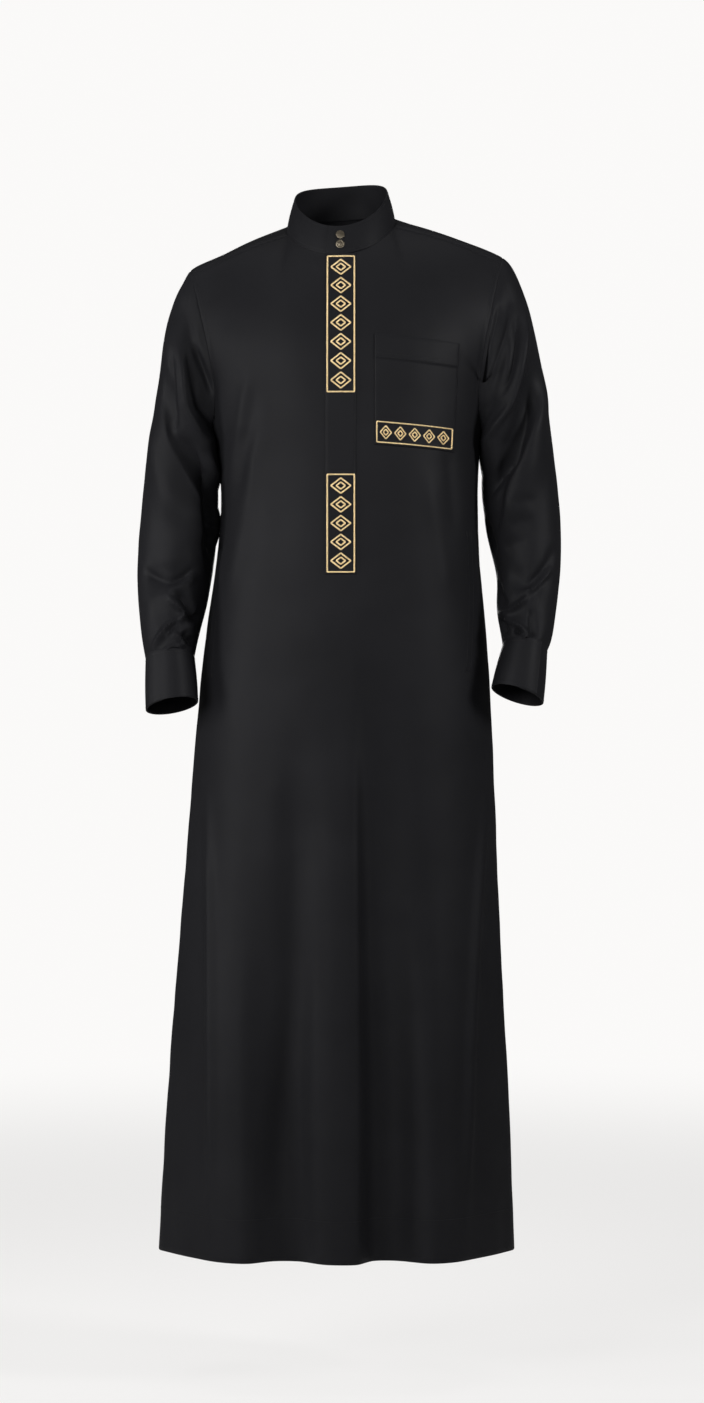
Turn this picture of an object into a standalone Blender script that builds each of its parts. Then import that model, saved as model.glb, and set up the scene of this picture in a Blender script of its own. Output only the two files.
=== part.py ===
# A man's thobe, worn: an ankle-length robe with a stand collar, a front placket, a chest pocket,
# set-in sleeves and lapped cuffs. Metres, +Z up, the front faces -Y, and +X is the
# wearer's left. The origin is where the neck base and shoulders hold it up.
import math
from collections import namedtuple

import bmesh
import bpy
import numpy as np
from mathutils import Vector

# Driving sizes
HEM_Z = -1.412
CLOTH = 0.0015
FIRM_CLOTH = 0.0020
APPLIED_CLOTH = 0.0012
SEAM_GAP = 0.0003
CENTRE_LINE_X = 0.0
PLACKET_HALF_WIDTH = 0.0207
PLACKET_END_Z = -0.486
PLACKET_BELOW_COLLAR = 0.0016
SNAP_RADIUS = 0.0058
SNAP_HEIGHT = 0.0017
SNAP_X = -0.001
SNAP_STEPS = 18
# How far up the collar's front each snap sits, as a share of its height
SNAP_SHARES = {"upper": 0.665, "lower": 0.325}
# A snap cap from its middle out and down to the cloth, in shares of its radius and height
CapStep = namedtuple("CapStep", "radius height")
SNAP_PROFILE = [
    CapStep(0.00, 1.00),
    CapStep(0.34, 0.96),
    CapStep(0.50, 0.70),
    CapStep(0.66, 0.78),
    CapStep(0.84, 0.80),
    CapStep(1.00, 0.40),
    CapStep(1.00, 0.00),
    CapStep(0.00, 0.00),
]

# How finely each panel is divided
ROWS_BELOW_ARMHOLE = 17
FRONT_ARMHOLE_ROWS = 10
BACK_ARMHOLE_ROWS = 8
NECKLINE_STEPS_PER_SIDE = 7
SHOULDER_COLUMNS = 9
BACK_COLUMNS = 30
SLEEVE_RINGS = 18
BAND_ROWS = 3
# Rows lie closer together towards the underarm by this power
ROW_CLOSENESS = 1.35
# Columns follow the skirt's folds below this height, fully after this drop
FOLDED_FROM_Z = -0.52
FOLDED_OVER = 0.35
# How much more a bend counts than plain length when columns are placed along the folds
BEND_WEIGHT = 0.022
BEND_LIMIT = 0.2
FINE_STEPS = 700
SMOOTHING = 25
SHARP_ANGLE = math.radians(50)

# Where the yoke's seams meet the armhole and the neckline, in degrees round each ring
YOKE_FRONT_ARMHOLE = 24.0
YOKE_BACK_ARMHOLE = -55.0
YOKE_NECKLINE = 76.0
BACK_SEAM_Y = 0.0975
BACK_SEAM_Z = -0.100
# The back yoke seam runs level across the shoulder blades, then turns in towards the armholes
BACK_SEAM_SQUARE = 2.6
BACK_SEAM_TURN = 0.45
# The front yoke seam bows up by this much, and forward by this share of it
FRONT_SEAM_BOW = 0.004
FRONT_SEAM_FORWARD = 0.2
# Yoke columns lie a little closer together behind the neck than at its sides
YOKE_CLOSENESS = 1.08

# The body from the hem up: where its side seams (or above the underarm, where they would be) and
# its centre lines run, and how square (power) and how pointed at the sides (ends) it is from above
Section = namedtuple("Section", "z right_seam left_seam middle side front back power ends")
BODY = [
    Section(HEM_Z, -0.2515, 0.2391, -0.003, 0.000, -0.130, 0.140, 3.7, 1.00),
    Section(-1.200, -0.2398, 0.2311, -0.003, 0.000, -0.127, 0.136, 3.5, 1.05),
    Section(-1.000, -0.2242, 0.2205, -0.003, 0.000, -0.125, 0.131, 3.2, 1.15),
    Section(-0.800, -0.2081, 0.2122, -0.002, 0.001, -0.124, 0.127, 2.9, 1.30),
    Section(-0.650, -0.1957, 0.2060, -0.001, 0.002, -0.126, 0.123, 2.7, 1.50),
    Section(-0.550, -0.1846, 0.1991, 0.000, 0.003, -0.129, 0.116, 2.5, 1.70),
    Section(-0.455, -0.1709, 0.1906, 0.001, 0.004, -0.132, 0.107, 2.4, 1.90),
    Section(-0.390, -0.1655, 0.1888, 0.001, 0.004, -0.134, 0.104, 2.4, 1.95),
    Section(-0.345, -0.1675, 0.1890, 0.001, 0.004, -0.135, 0.105, 2.4, 1.90),
    Section(-0.310, -0.1735, 0.1915, 0.001, 0.004, -0.135, 0.107, 2.4, 1.85),
    Section(-0.285, -0.1810, 0.1960, 0.001, 0.004, -0.135, 0.109, 2.4, 1.80),
    Section(-0.245, -0.1885, 0.2040, 0.001, 0.004, -0.135, 0.111, 2.4, 1.75),
    Section(-0.205, -0.1985, 0.2140, 0.001, 0.004, -0.134, 0.111, 2.4, 1.75),
    Section(-0.165, -0.2070, 0.2235, 0.000, 0.003, -0.129, 0.109, 2.4, 1.75),
    Section(-0.120, -0.2140, 0.2305, 0.000, 0.002, -0.117, 0.102, 2.4, 1.75),
    Section(-0.075, -0.2155, 0.2310, 0.000, 0.001, -0.100, 0.090, 2.4, 1.75),
    Section(-0.045, -0.2140, 0.2280, 0.000, 0.000, -0.084, 0.078, 2.4, 1.75),
]
BACK_SQUARER = 0.6
# How fast the front and the back part from each other over the shoulder point
SHOULDER_ROUND = 3.0
# Powers by which chest columns spread out towards the top edge, drop towards the armhole and
# meet it in depth
SPREAD_POWER = 1.5
EDGE_DROP_POWER = 2
EDGE_MEET_POWER = 4

# Each armhole is a leaning ring from the shoulder point down to the underarm
Armhole = namedtuple("Armhole", "side tip_x tip_z under_x under_z")
ARMHOLES = {
    "right": Armhole(-1, -0.2067, -0.0648, -0.1810, -0.2850),
    "left": Armhole(1, 0.2205, -0.0490, 0.1960, -0.2850),
}
# How far in from the shoulder point the armhole runs, as shares of the underarm's own distance in,
# by its share of the drop to the underarm
ArmholeRun = namedtuple("ArmholeRun", "drop front back")
ARMHOLE_RUNS = [
    ArmholeRun(0.00, 0.00, 0.00),
    ArmholeRun(0.16, 0.33, 0.16),
    ArmholeRun(0.33, 0.67, 0.35),
    ArmholeRun(0.55, 1.05, 0.60),
    ArmholeRun(0.80, 1.33, 0.92),
    ArmholeRun(0.93, 1.25, 1.04),
    ArmholeRun(1.00, 1.00, 1.00),
]

# The two rings of the stand collar, which leans with the neck
NeckRing = namedtuple("NeckRing", "middle_y half_width half_depth front_z side_z back_z")
COLLAR_BASE = NeckRing(-0.010, 0.0750, 0.0750, -0.0490, -0.0030, 0.0150)
COLLAR_TOP = NeckRing(-0.0115, 0.0640, 0.0635, -0.0110, 0.0390, 0.0600)
COLLAR_SIDE_TILT = 0.075
COLLAR_LAP_ANGLE = 15.0
COLLAR_STEPS = 52

# Each sleeve from the armhole to the cuff seam, in the front view, with how far its middle lies
# back and how deep it is. The outer line starts at the shoulder point, the inner at the underarm.
Ring = namedtuple("Ring", "outer_x outer_z inner_x inner_z middle_y half_depth lean")
SLEEVES = {
    "right": [
        Ring(-0.2067, -0.0648, -0.1810, -0.2850, 0.002, 0.0640, 0.00),
        Ring(-0.2163, -0.0827, -0.1880, -0.2865, 0.003, 0.0670, 0.00),
        Ring(-0.2260, -0.1034, -0.1912, -0.2930, 0.004, 0.0690, 0.00),
        Ring(-0.2356, -0.1337, -0.1900, -0.3060, 0.005, 0.0690, 0.00),
        Ring(-0.2439, -0.1722, -0.1868, -0.3240, 0.006, 0.0680, 0.00),
        Ring(-0.2508, -0.2205, -0.1822, -0.3430, 0.008, 0.0670, 0.00),
        Ring(-0.2591, -0.2687, -0.1785, -0.3640, 0.010, 0.0650, 0.00),
        Ring(-0.2660, -0.3169, -0.1750, -0.3880, 0.012, 0.0630, 0.00),
        Ring(-0.2715, -0.3679, -0.1733, -0.4170, 0.013, 0.0610, 0.02),
        Ring(-0.2770, -0.4203, -0.1743, -0.4470, 0.012, 0.0590, 0.05),
        Ring(-0.2797, -0.4616, -0.1763, -0.4750, 0.007, 0.0570, 0.10),
        Ring(-0.2800, -0.4961, -0.1802, -0.5010, -0.002, 0.0540, 0.16),
        Ring(-0.2776, -0.5333, -0.1860, -0.5310, -0.014, 0.0500, 0.21),
        Ring(-0.2733, -0.5650, -0.1936, -0.5610, -0.026, 0.0450, 0.25),
        Ring(-0.2672, -0.5990, -0.2005, -0.5950, -0.037, 0.0390, 0.28),
    ],
    "left": [
        Ring(0.2205, -0.0490, 0.1960, -0.2850, 0.002, 0.0640, 0.00),
        Ring(0.2343, -0.0634, 0.2030, -0.2865, 0.003, 0.0670, 0.00),
        Ring(0.2460, -0.0890, 0.2065, -0.2930, 0.004, 0.0690, 0.00),
        Ring(0.2555, -0.1185, 0.2060, -0.3050, 0.005, 0.0690, 0.00),
        Ring(0.2646, -0.1550, 0.2030, -0.3200, 0.006, 0.0680, 0.00),
        Ring(0.2740, -0.2030, 0.1998, -0.3370, 0.008, 0.0660, 0.00),
        Ring(0.2825, -0.2580, 0.1978, -0.3560, 0.010, 0.0640, 0.00),
        Ring(0.2894, -0.3110, 0.1975, -0.3790, 0.012, 0.0620, 0.00),
        Ring(0.2955, -0.3650, 0.1985, -0.4060, 0.013, 0.0600, 0.02),
        Ring(0.3005, -0.4200, 0.2040, -0.4380, 0.011, 0.0580, 0.05),
        Ring(0.3011, -0.4680, 0.2115, -0.4700, 0.005, 0.0550, 0.10),
        Ring(0.2980, -0.5040, 0.2150, -0.4990, -0.004, 0.0520, 0.16),
        Ring(0.2938, -0.5380, 0.2140, -0.5290, -0.016, 0.0480, 0.21),
        Ring(0.2890, -0.5680, 0.2180, -0.5560, -0.028, 0.0440, 0.25),
        Ring(0.2822, -0.5860, 0.2215, -0.5785, -0.037, 0.0390, 0.28),
    ],
}
CUFF_ENDS = {
    "right": Ring(-0.2666, -0.6690, -0.1943, -0.6560, -0.055, 0.0380, 0.28),
    "left": Ring(0.2765, -0.6590, 0.2045, -0.6370, -0.055, 0.0380, 0.28),
}
CUFF_LAP_AT = {"right": 34.0, "left": 48.0}
CUFF_LAP_LENGTH = 40.0
CUFF_STEPS = 30
# The first rows of the sleeve table over which a sleeve takes up the armhole's own shape
SLEEVE_HEAD_ROWS = 4.0
# Where a lapped band starts to rise over its first end and over how far, in laps from its last end
LAP_RISE_FROM = 3.2
LAP_RISE_OVER = 1.9
BAND_BOW = 0.0012
COLLAR_SEAM_LIFT = 0.0005

# Folds die out this far before the side seams, deepen down to the hem by this power, and reach
# their course within this share of their length
FOLD_FADE = 0.035
FOLD_GROWTH = 0.8
FOLD_START = 0.4

# Long skirt folds. A fold lies between two lines that run from its top to the hem, and pushes the
# cloth out (or in, if negative) by its full depth at the hem.
SkirtFold = namedtuple("SkirtFold", "top_z top_from top_to hem_from hem_to soft_from soft_to depth")
FRONT_FOLDS = [
    SkirtFold(-0.84, -0.200, -0.140, -0.185, -0.112, 0.018, 0.016, 0.014),
    SkirtFold(-0.76, -0.125, -0.070, -0.106, -0.040, 0.019, 0.018, -0.026),
    SkirtFold(-0.54, -0.040, 0.026, -0.036, 0.031, 0.018, 0.010, 0.014),
    SkirtFold(-0.56, 0.032, 0.075, 0.034, 0.092, 0.010, 0.020, -0.030),
    SkirtFold(-0.82, 0.118, 0.168, 0.112, 0.172, 0.018, 0.016, 0.014),
]
BACK_FOLDS = [
    SkirtFold(-0.80, -0.185, -0.135, -0.190, -0.125, 0.018, 0.018, 0.013),
    SkirtFold(-0.62, -0.100, -0.060, -0.108, -0.048, 0.018, 0.018, -0.024),
    SkirtFold(-0.55, -0.030, 0.020, -0.034, 0.030, 0.016, 0.016, 0.016),
    SkirtFold(-0.66, 0.048, 0.090, 0.046, 0.104, 0.016, 0.018, -0.026),
    SkirtFold(-0.84, 0.125, 0.172, 0.122, 0.182, 0.018, 0.016, 0.013),
]

# Folds that cross the seams of the chest and the sleeves: a line seen from the front (view -1) or
# the back (view 1), pressed in or raised by its depth over its width
Crease = namedtuple("Crease", "view depth width line")
# A crease fades out over this share of its line at each end
CREASE_TAPER = 0.2
CREASES = [
    Crease(-1, -0.008, 0.015, [(-0.222, -0.100), (-0.212, -0.150), (-0.194, -0.205), (-0.178, -0.250)]),
    Crease(-1, 0.006, 0.014, [(-0.230, -0.120), (-0.226, -0.200), (-0.208, -0.270), (-0.190, -0.330)]),
    Crease(-1, -0.008, 0.013, [(-0.241, -0.210), (-0.238, -0.290), (-0.220, -0.350), (-0.186, -0.395)]),
    Crease(-1, 0.006, 0.013, [(-0.252, -0.240), (-0.252, -0.320), (-0.232, -0.385), (-0.200, -0.430)]),
    Crease(-1, -0.007, 0.011, [(-0.270, -0.478), (-0.240, -0.494), (-0.205, -0.476)]),
    Crease(-1, -0.006, 0.010, [(-0.255, -0.545), (-0.222, -0.540), (-0.205, -0.560)]),
    Crease(-1, -0.008, 0.015, [(0.236, -0.090), (0.228, -0.140), (0.210, -0.195), (0.194, -0.245)]),
    Crease(-1, 0.006, 0.014, [(0.242, -0.110), (0.240, -0.190), (0.222, -0.260), (0.208, -0.320)]),
    Crease(-1, -0.008, 0.013, [(0.256, -0.200), (0.250, -0.280), (0.230, -0.345), (0.206, -0.385)]),
    Crease(-1, 0.006, 0.013, [(0.268, -0.230), (0.266, -0.310), (0.246, -0.380), (0.218, -0.430)]),
    Crease(-1, -0.007, 0.011, [(0.292, -0.470), (0.262, -0.502), (0.226, -0.488)]),
    Crease(-1, -0.006, 0.010, [(0.276, -0.555), (0.244, -0.540), (0.226, -0.520)]),
    Crease(1, -0.008, 0.015, [(-0.236, -0.120), (-0.228, -0.190), (-0.210, -0.260)]),
    Crease(1, -0.008, 0.013, [(-0.250, -0.220), (-0.238, -0.310), (-0.205, -0.385)]),
    Crease(1, -0.007, 0.011, [(-0.268, -0.440), (-0.236, -0.462), (-0.196, -0.450)]),
    Crease(1, -0.008, 0.015, [(0.246, -0.110), (0.240, -0.180), (0.222, -0.250)]),
    Crease(1, -0.008, 0.013, [(0.264, -0.210), (0.250, -0.300), (0.220, -0.380)]),
    Crease(1, -0.007, 0.011, [(0.290, -0.440), (0.258, -0.462), (0.222, -0.450)]),
]

# The chest pocket, on the wearer's left: its corners in the front view, and its turned-down top
POCKET_INNER_X = 0.0455
POCKET_OUTER_X = (0.1600, 0.1530)
POCKET_INNER_Z = (-0.1620, -0.3120)
POCKET_OUTER_Z = (-0.1720, -0.3190)
POCKET_HEM_SHARE = 0.20
POCKET_HEM_EXTRA = 0.0005
POCKET_COLUMNS = 9
POCKET_ROWS = 10
POCKET_CLEARANCE = 0.0008

CHARCOAL = (0.0105, 0.0106, 0.0110)
GUNMETAL = (0.155, 0.140, 0.110)


def clear_scene():
    for old in list(bpy.data.objects):
        bpy.data.objects.remove(old, do_unlink=True)


def cloth_material(name, colour, roughness, metallic=0.0):
    material = bpy.data.materials.new(name)
    material.use_nodes = True
    shader = material.node_tree.nodes["Principled BSDF"]
    shader.inputs["Base Color"].default_value = (*colour, 1.0)
    shader.inputs["Roughness"].default_value = roughness
    shader.inputs["Metallic"].default_value = metallic
    return material


def curve_at(knots, values, at):
    """Values at `at` on the smooth curve that runs through `values` at `knots`."""
    knots = np.asarray(knots, float)
    values = np.asarray(values, float)
    at = np.clip(np.asarray(at, float), knots[0], knots[-1])
    slopes = np.gradient(values, knots, axis=0)
    i = np.clip(np.searchsorted(knots, at, side="right") - 1, 0, len(knots) - 2)
    span = knots[i + 1] - knots[i]
    s = (at - knots[i]) / span
    extra = (1,) * (values.ndim - 1)
    s, span = s.reshape(s.shape + extra), span.reshape(span.shape + extra)
    return (
        values[i] * (1 + 2 * s) * (1 - s) ** 2
        + slopes[i] * span * s * (1 - s) ** 2
        + values[i + 1] * s**2 * (3 - 2 * s)
        + slopes[i + 1] * span * s**2 * (s - 1)
    )


def ease(s):
    s = np.clip(s, 0.0, 1.0)
    return s * s * (3 - 2 * s)


def body_at(z):
    """The body's section at height z, as one Section of smooth values."""
    values = curve_at([row.z for row in BODY], [list(row) for row in BODY], z)
    return Section(*np.moveaxis(values, -1, 0))


def body_y(x, z, view):
    """How far forward or back the body's cloth is at x and z, on its front (view -1) or back (view 1)."""
    section = body_at(z)
    right_reach, left_reach = section.middle - section.right_seam, section.left_seam - section.middle
    reach = np.where(x < section.middle, right_reach, left_reach)
    share = np.clip(np.abs(x - section.middle) / reach, 0, 1)
    far = section.front if view < 0 else section.back
    ends = section.ends + (0 if view < 0 else BACK_SQUARER)
    y = section.side + (far - section.side) * (1 - share**section.power) ** (1 / ends)
    return y + view * fold_push(x, z, FRONT_FOLDS if view < 0 else BACK_FOLDS)


def fold_push(x, z, folds):
    """How far the long folds push the skirt's cloth out at x and z. They die out before the side seams."""
    section = body_at(z)
    push = np.zeros(np.broadcast(x, z).shape)
    for fold in folds:
        fall = np.clip((fold.top_z - z) / (fold.top_z - HEM_Z), 0, 1)
        start = fold.top_from + (fold.hem_from - fold.top_from) * fall
        stop = fold.top_to + (fold.hem_to - fold.top_to) * fall
        band = (np.tanh((x - start) / fold.soft_from) - np.tanh((x - stop) / fold.soft_to)) / 2
        push += fold.depth * band * fall**FOLD_GROWTH * ease(fall / FOLD_START)
    from_seam = np.minimum(x - section.right_seam, section.left_seam - x)
    return push * ease(from_seam / FOLD_FADE)


def armhole_point(hole, angle):
    """A point of the armhole: 0 degrees is the shoulder point, 180 the underarm, the front positive."""
    turn = math.radians(angle)
    drop = (1 - math.cos(turn)) / 2
    runs = np.array(ARMHOLE_RUNS)
    run = float(curve_at(runs[:, 0], runs[:, 1 if angle >= 0 else 2], drop))
    x = hole.tip_x + (hole.under_x - hole.tip_x) * run
    z = hole.tip_z + (hole.under_z - hole.tip_z) * drop
    y = float(body_y(np.array(x), np.array(z), -1 if angle >= 0 else 1))
    # Over the shoulder point the front and the back meet at its ridge
    meet = math.tanh(SHOULDER_ROUND * abs(math.sin(turn))) if drop < 0.5 else 1.0
    return np.array([x, y * meet, z])


def neck_point(ring, angle):
    """A point of a collar ring: 0 degrees is the front, 90 the wearer's left side."""
    turn = math.radians(angle)
    c, s = math.cos(turn), math.sin(turn)
    swing = (ring.front_z - ring.back_z) / 2
    dip = (ring.front_z + ring.back_z) / 2 - ring.side_z
    x = CENTRE_LINE_X + ring.half_width * s
    z = ring.side_z + swing * c + dip * c * c + COLLAR_SIDE_TILT * ring.half_width * s
    return np.array([x, ring.middle_y - ring.half_depth * c, z])


def front_top_edge(side_name):
    """The front's top edge on one side, from the centre front along the neckline and the yoke seam."""
    side = ARMHOLES[side_name].side
    first = math.degrees(math.asin(PLACKET_HALF_WIDTH / COLLAR_BASE.half_width))
    angles = [0.0] + list(np.linspace(first, YOKE_NECKLINE, NECKLINE_STEPS_PER_SIDE))
    points = [neck_point(COLLAR_BASE, side * angle) for angle in angles]
    start, end = points[-1], armhole_point(ARMHOLES[side_name], YOKE_FRONT_ARMHOLE)
    for i in range(1, SHOULDER_COLUMNS + 1):
        share = i / SHOULDER_COLUMNS
        lift = FRONT_SEAM_BOW * math.sin(math.pi * share)
        points.append(start + (end - start) * share + np.array([0, -FRONT_SEAM_FORWARD * lift, lift]))
    return np.array(points)


def even_along_folds(z, start, stop, count, view):
    """Places across the body at height z, closer together where its folds bend."""
    x = start + (stop - start) * np.sin(np.linspace(0, math.pi / 2, FINE_STEPS))
    y = body_y(x, np.full_like(x, z), view)
    steps = np.hypot(np.diff(x), np.diff(y))
    heading = np.unwrap(np.arctan2(np.diff(y), np.diff(x)))
    bend = np.abs(np.gradient(heading))
    bend = np.convolve(bend, np.ones(SMOOTHING) / SMOOTHING, mode="same")
    run = np.concatenate([[0], np.cumsum(steps + BEND_WEIGHT * np.minimum(bend, BEND_LIMIT))])
    return np.interp(np.linspace(0, run[-1], count), run, x)


def skirt_row(z, columns, keep_first, side, seam_x, view):
    """One half row across the skirt, from the centre line out to its side seam."""
    middle = float(body_at(z).middle)
    first = middle + side * keep_first
    plain = first + (seam_x - first) * np.sin(np.linspace(0, math.pi / 2, columns - 1))
    plain = np.concatenate([[middle], plain])
    folded = even_along_folds(z, middle, seam_x, columns, view)
    share = float(ease((FOLDED_FROM_Z - z) / FOLDED_OVER))
    x = plain + (folded - plain) * share
    heights = np.full_like(x, z)
    return np.stack([x, body_y(x, heights, view), heights], axis=1)


def panel_half(side_name, view, top, keep_first, armhole_rows, last_angle):
    """Half of the front or back, as rows from the hem up, each from the centre line out to its edge."""
    hole = ARMHOLES[side_name]
    columns = len(top)
    rows = []
    for share in row_shares(ROWS_BELOW_ARMHOLE):
        z = HEM_Z + (hole.under_z - HEM_Z) * share
        section = body_at(z)
        seam_x = float(section.right_seam if hole.side < 0 else section.left_seam)
        rows.append(skirt_row(z, columns, keep_first, hole.side, seam_x, view))

    chest = rows[-1]
    first = hole.side * keep_first

    def spread(row):
        start = row[0, 0] + first
        return (row[:, 0] - start) / (row[-1, 0] - start)

    low, high = spread(chest), spread(top)
    upper = []
    for k in range(1, armhole_rows + 1):
        edge = armhole_point(hole, -view * (180 + (last_angle - 180) * k / armhole_rows))
        level = (edge[2] - chest[0, 2]) / (top[-1, 2] - chest[0, 2])
        middle = chest[0, 0] + (top[0, 0] - chest[0, 0]) * level
        x = middle + first + (edge[0] - middle - first) * (low + (high - low) * level**SPREAD_POWER)
        x[0] = middle
        share = (x - middle) / (edge[0] - middle)
        middle_z = chest[0, 2] + (top[0, 2] - chest[0, 2]) * level
        z = middle_z + (edge[2] - middle_z) * share**EDGE_DROP_POWER
        y = body_y(x, z, view)
        y = y + (edge[1] - y[-1]) * share**EDGE_MEET_POWER
        upper.append((level, np.stack([x, y, z], axis=1)))
    miss = top - upper[-1][1]
    for level, row in upper:
        rows.append(row + miss * np.array([level, level**3, level])[None, :])
    return np.array(rows)


def row_shares(count):
    """Shares of the way from the hem to the underarm, closer together towards the underarm."""
    steps = np.linspace(0, 1, count + 1)
    return 1 - (1 - steps) ** ROW_CLOSENESS


def front_grid():
    """The whole front: columns run from the wearer's right side to the left."""
    halves = []
    for name in ("right", "left"):
        top = front_top_edge(name)
        half = panel_half(name, -1, top, PLACKET_HALF_WIDTH, FRONT_ARMHOLE_ROWS, YOKE_FRONT_ARMHOLE)
        halves.append(half)
    return join_halves(*halves)


def back_grid():
    """The whole back, up to its yoke seam: columns run from the wearer's right side to the left."""
    halves = []
    for name in ("right", "left"):
        end = armhole_point(ARMHOLES[name], YOKE_BACK_ARMHOLE)
        middle = np.array([0.0, BACK_SEAM_Y, BACK_SEAM_Z])
        share = np.sin(np.linspace(0, math.pi / 2, BACK_COLUMNS // 2 + 1))[:, None]
        turned_in = 1 - (1 - share**BACK_SEAM_SQUARE) ** BACK_SEAM_TURN
        bend = np.concatenate([share, turned_in, share**2], axis=1)
        top = middle + (end - middle) * bend
        first = 0.2 * math.sin(math.pi / (BACK_COLUMNS - 2))
        halves.append(panel_half(name, 1, top, first, BACK_ARMHOLE_ROWS, -YOKE_BACK_ARMHOLE))
    return join_halves(*halves)


def join_halves(right, left):
    middle = (right[:, :1] + left[:, :1]) / 2
    return np.concatenate([right[:, :0:-1], middle, left[:, 1:]], axis=1)


def yoke_armhole_angles():
    """The yoke's stretch of the armhole, from the front seam over the shoulder point to the back seam."""
    front = [YOKE_FRONT_ARMHOLE, YOKE_FRONT_ARMHOLE / 2, 0.0]
    back = [YOKE_BACK_ARMHOLE * share for share in (0.25, 0.5, 0.75, 1.0)]
    return front + back


def yoke_grid(front, back, sleeves):
    """The yoke, as rows from the neckline out to the armholes and the back seam."""
    angles = yoke_armhole_angles()
    right_arm = [armhole_point(ARMHOLES["right"], a) for a in angles]
    left_arm = [armhole_point(ARMHOLES["left"], a) for a in reversed(angles)]
    outer = np.array(right_arm + list(back[-1][1:-1]) + left_arm)
    steps = len(outer) - 1
    marks = np.linspace(-1, 1, steps + 1)
    marks = np.sign(marks) * np.abs(marks) ** YOKE_CLOSENESS
    inner = np.array([neck_point(COLLAR_BASE, 180 - (180 - YOKE_NECKLINE) * m) for m in marks])
    share = np.linspace(0, 1, SHOULDER_COLUMNS + 1)[:, None, None]
    grid = inner * (1 - share) + outer * share
    grid[:, 0] = front[-1][: SHOULDER_COLUMNS + 1][::-1]
    grid[:, -1] = front[-1][-SHOULDER_COLUMNS - 1 :]
    # The first points of the cloth beyond its seams
    arm = slice(FRONT_ARMHOLE_ROWS, FRONT_ARMHOLE_ROWS + len(angles))
    past_right, past_left = sleeves["right"][1][arm], sleeves["left"][1][arm][::-1]
    past_outer = np.concatenate([past_right, back[-2][1:-1], past_left])
    past_first = front[-2][: SHOULDER_COLUMNS + 1][::-1]
    past_last = front[-2][-SHOULDER_COLUMNS - 1 :]
    return faired(grid, past_outer, past_first, past_last)


def faired(grid, past_last_row, past_first_column, past_last_column):
    """The grid with its inner points placed so that it bends evenly into the cloth around it."""
    rows, columns = grid.shape[:2]
    wide = np.full((rows + 1, columns + 2, 3), np.nan)
    wide[:rows, 1:-1] = grid
    wide[rows, 1:-1] = past_last_row
    wide[:rows, 0] = past_first_column
    wide[:rows, -1] = past_last_column
    index = np.full(wide.shape[:2], -1)
    index[1 : rows - 1, 2 : columns] = np.arange((rows - 2) * (columns - 2)).reshape(rows - 2, columns - 2)
    terms, goals = [], []
    for down, along in ((1, 0), (0, 1)):
        for r in range(down, rows + 1 - down):
            for c in range(along, columns + 2 - along):
                places = [(r - down, c - along), (r, c), (r + down, c + along)]
                points = np.array([wide[p] for p in places])
                if np.isnan(points).any() or max(index[p] for p in places) < 0:
                    continue
                before, after = np.linalg.norm(points[1] - points[0]), np.linalg.norm(points[2] - points[1])
                scale = (before + after) / 2
                weights = [scale / before, -scale / before - scale / after, scale / after]
                term, goal = np.zeros(index.max() + 1), np.zeros(3)
                for place, point, weight in zip(places, points, weights):
                    if index[place] < 0:
                        goal -= weight * point
                    else:
                        term[index[place]] = weight
                terms.append(term)
                goals.append(goal)
    solved = np.linalg.lstsq(np.array(terms), np.array(goals), rcond=None)[0]
    result = grid.copy()
    result[1:-1, 1:-1] = solved.reshape(rows - 2, columns - 2, 3)
    return result


def ring_angles():
    """The angles of an armhole's points: up its front from the underarm and down its back."""
    up = [180 + (YOKE_FRONT_ARMHOLE - 180) * k / FRONT_ARMHOLE_ROWS for k in range(FRONT_ARMHOLE_ROWS)]
    down = [
        YOKE_BACK_ARMHOLE - (YOKE_BACK_ARMHOLE + 180) * k / BACK_ARMHOLE_ROWS
        for k in range(1, BACK_ARMHOLE_ROWS)
    ]
    return np.array(up + yoke_armhole_angles() + down)


def ring_points(ring, angles):
    """Points round one ring of a sleeve or cuff. Its plane leans with the arm."""
    turn = np.radians(angles)[:, None]
    outer = np.array([ring.outer_x, ring.middle_y, ring.outer_z])
    inner = np.array([ring.inner_x, ring.middle_y, ring.inner_z])
    forward = np.array([0.0, -1.0, ring.lean]) * ring.half_depth
    return (outer + inner) / 2 + (outer - inner) / 2 * np.cos(turn) + forward * np.sin(turn)


def sleeve_grid(side_name):
    """A sleeve as rings from the armhole to the cuff seam."""
    table = SLEEVES[side_name]
    hole = ARMHOLES[side_name]
    angles = ring_angles()
    armhole = np.array([armhole_point(hole, a) for a in angles])
    places = np.linspace(0, len(table) - 1, SLEEVE_RINGS + 1)
    rings = [Ring(*row) for row in curve_at(range(len(table)), [list(r) for r in table], places)]
    miss = armhole - ring_points(rings[0], angles)
    rows = []
    for place, ring in zip(places, rings):
        rows.append(ring_points(ring, angles) + miss * (1 - ease(place / SLEEVE_HEAD_ROWS)))
    return np.array(rows)


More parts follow.
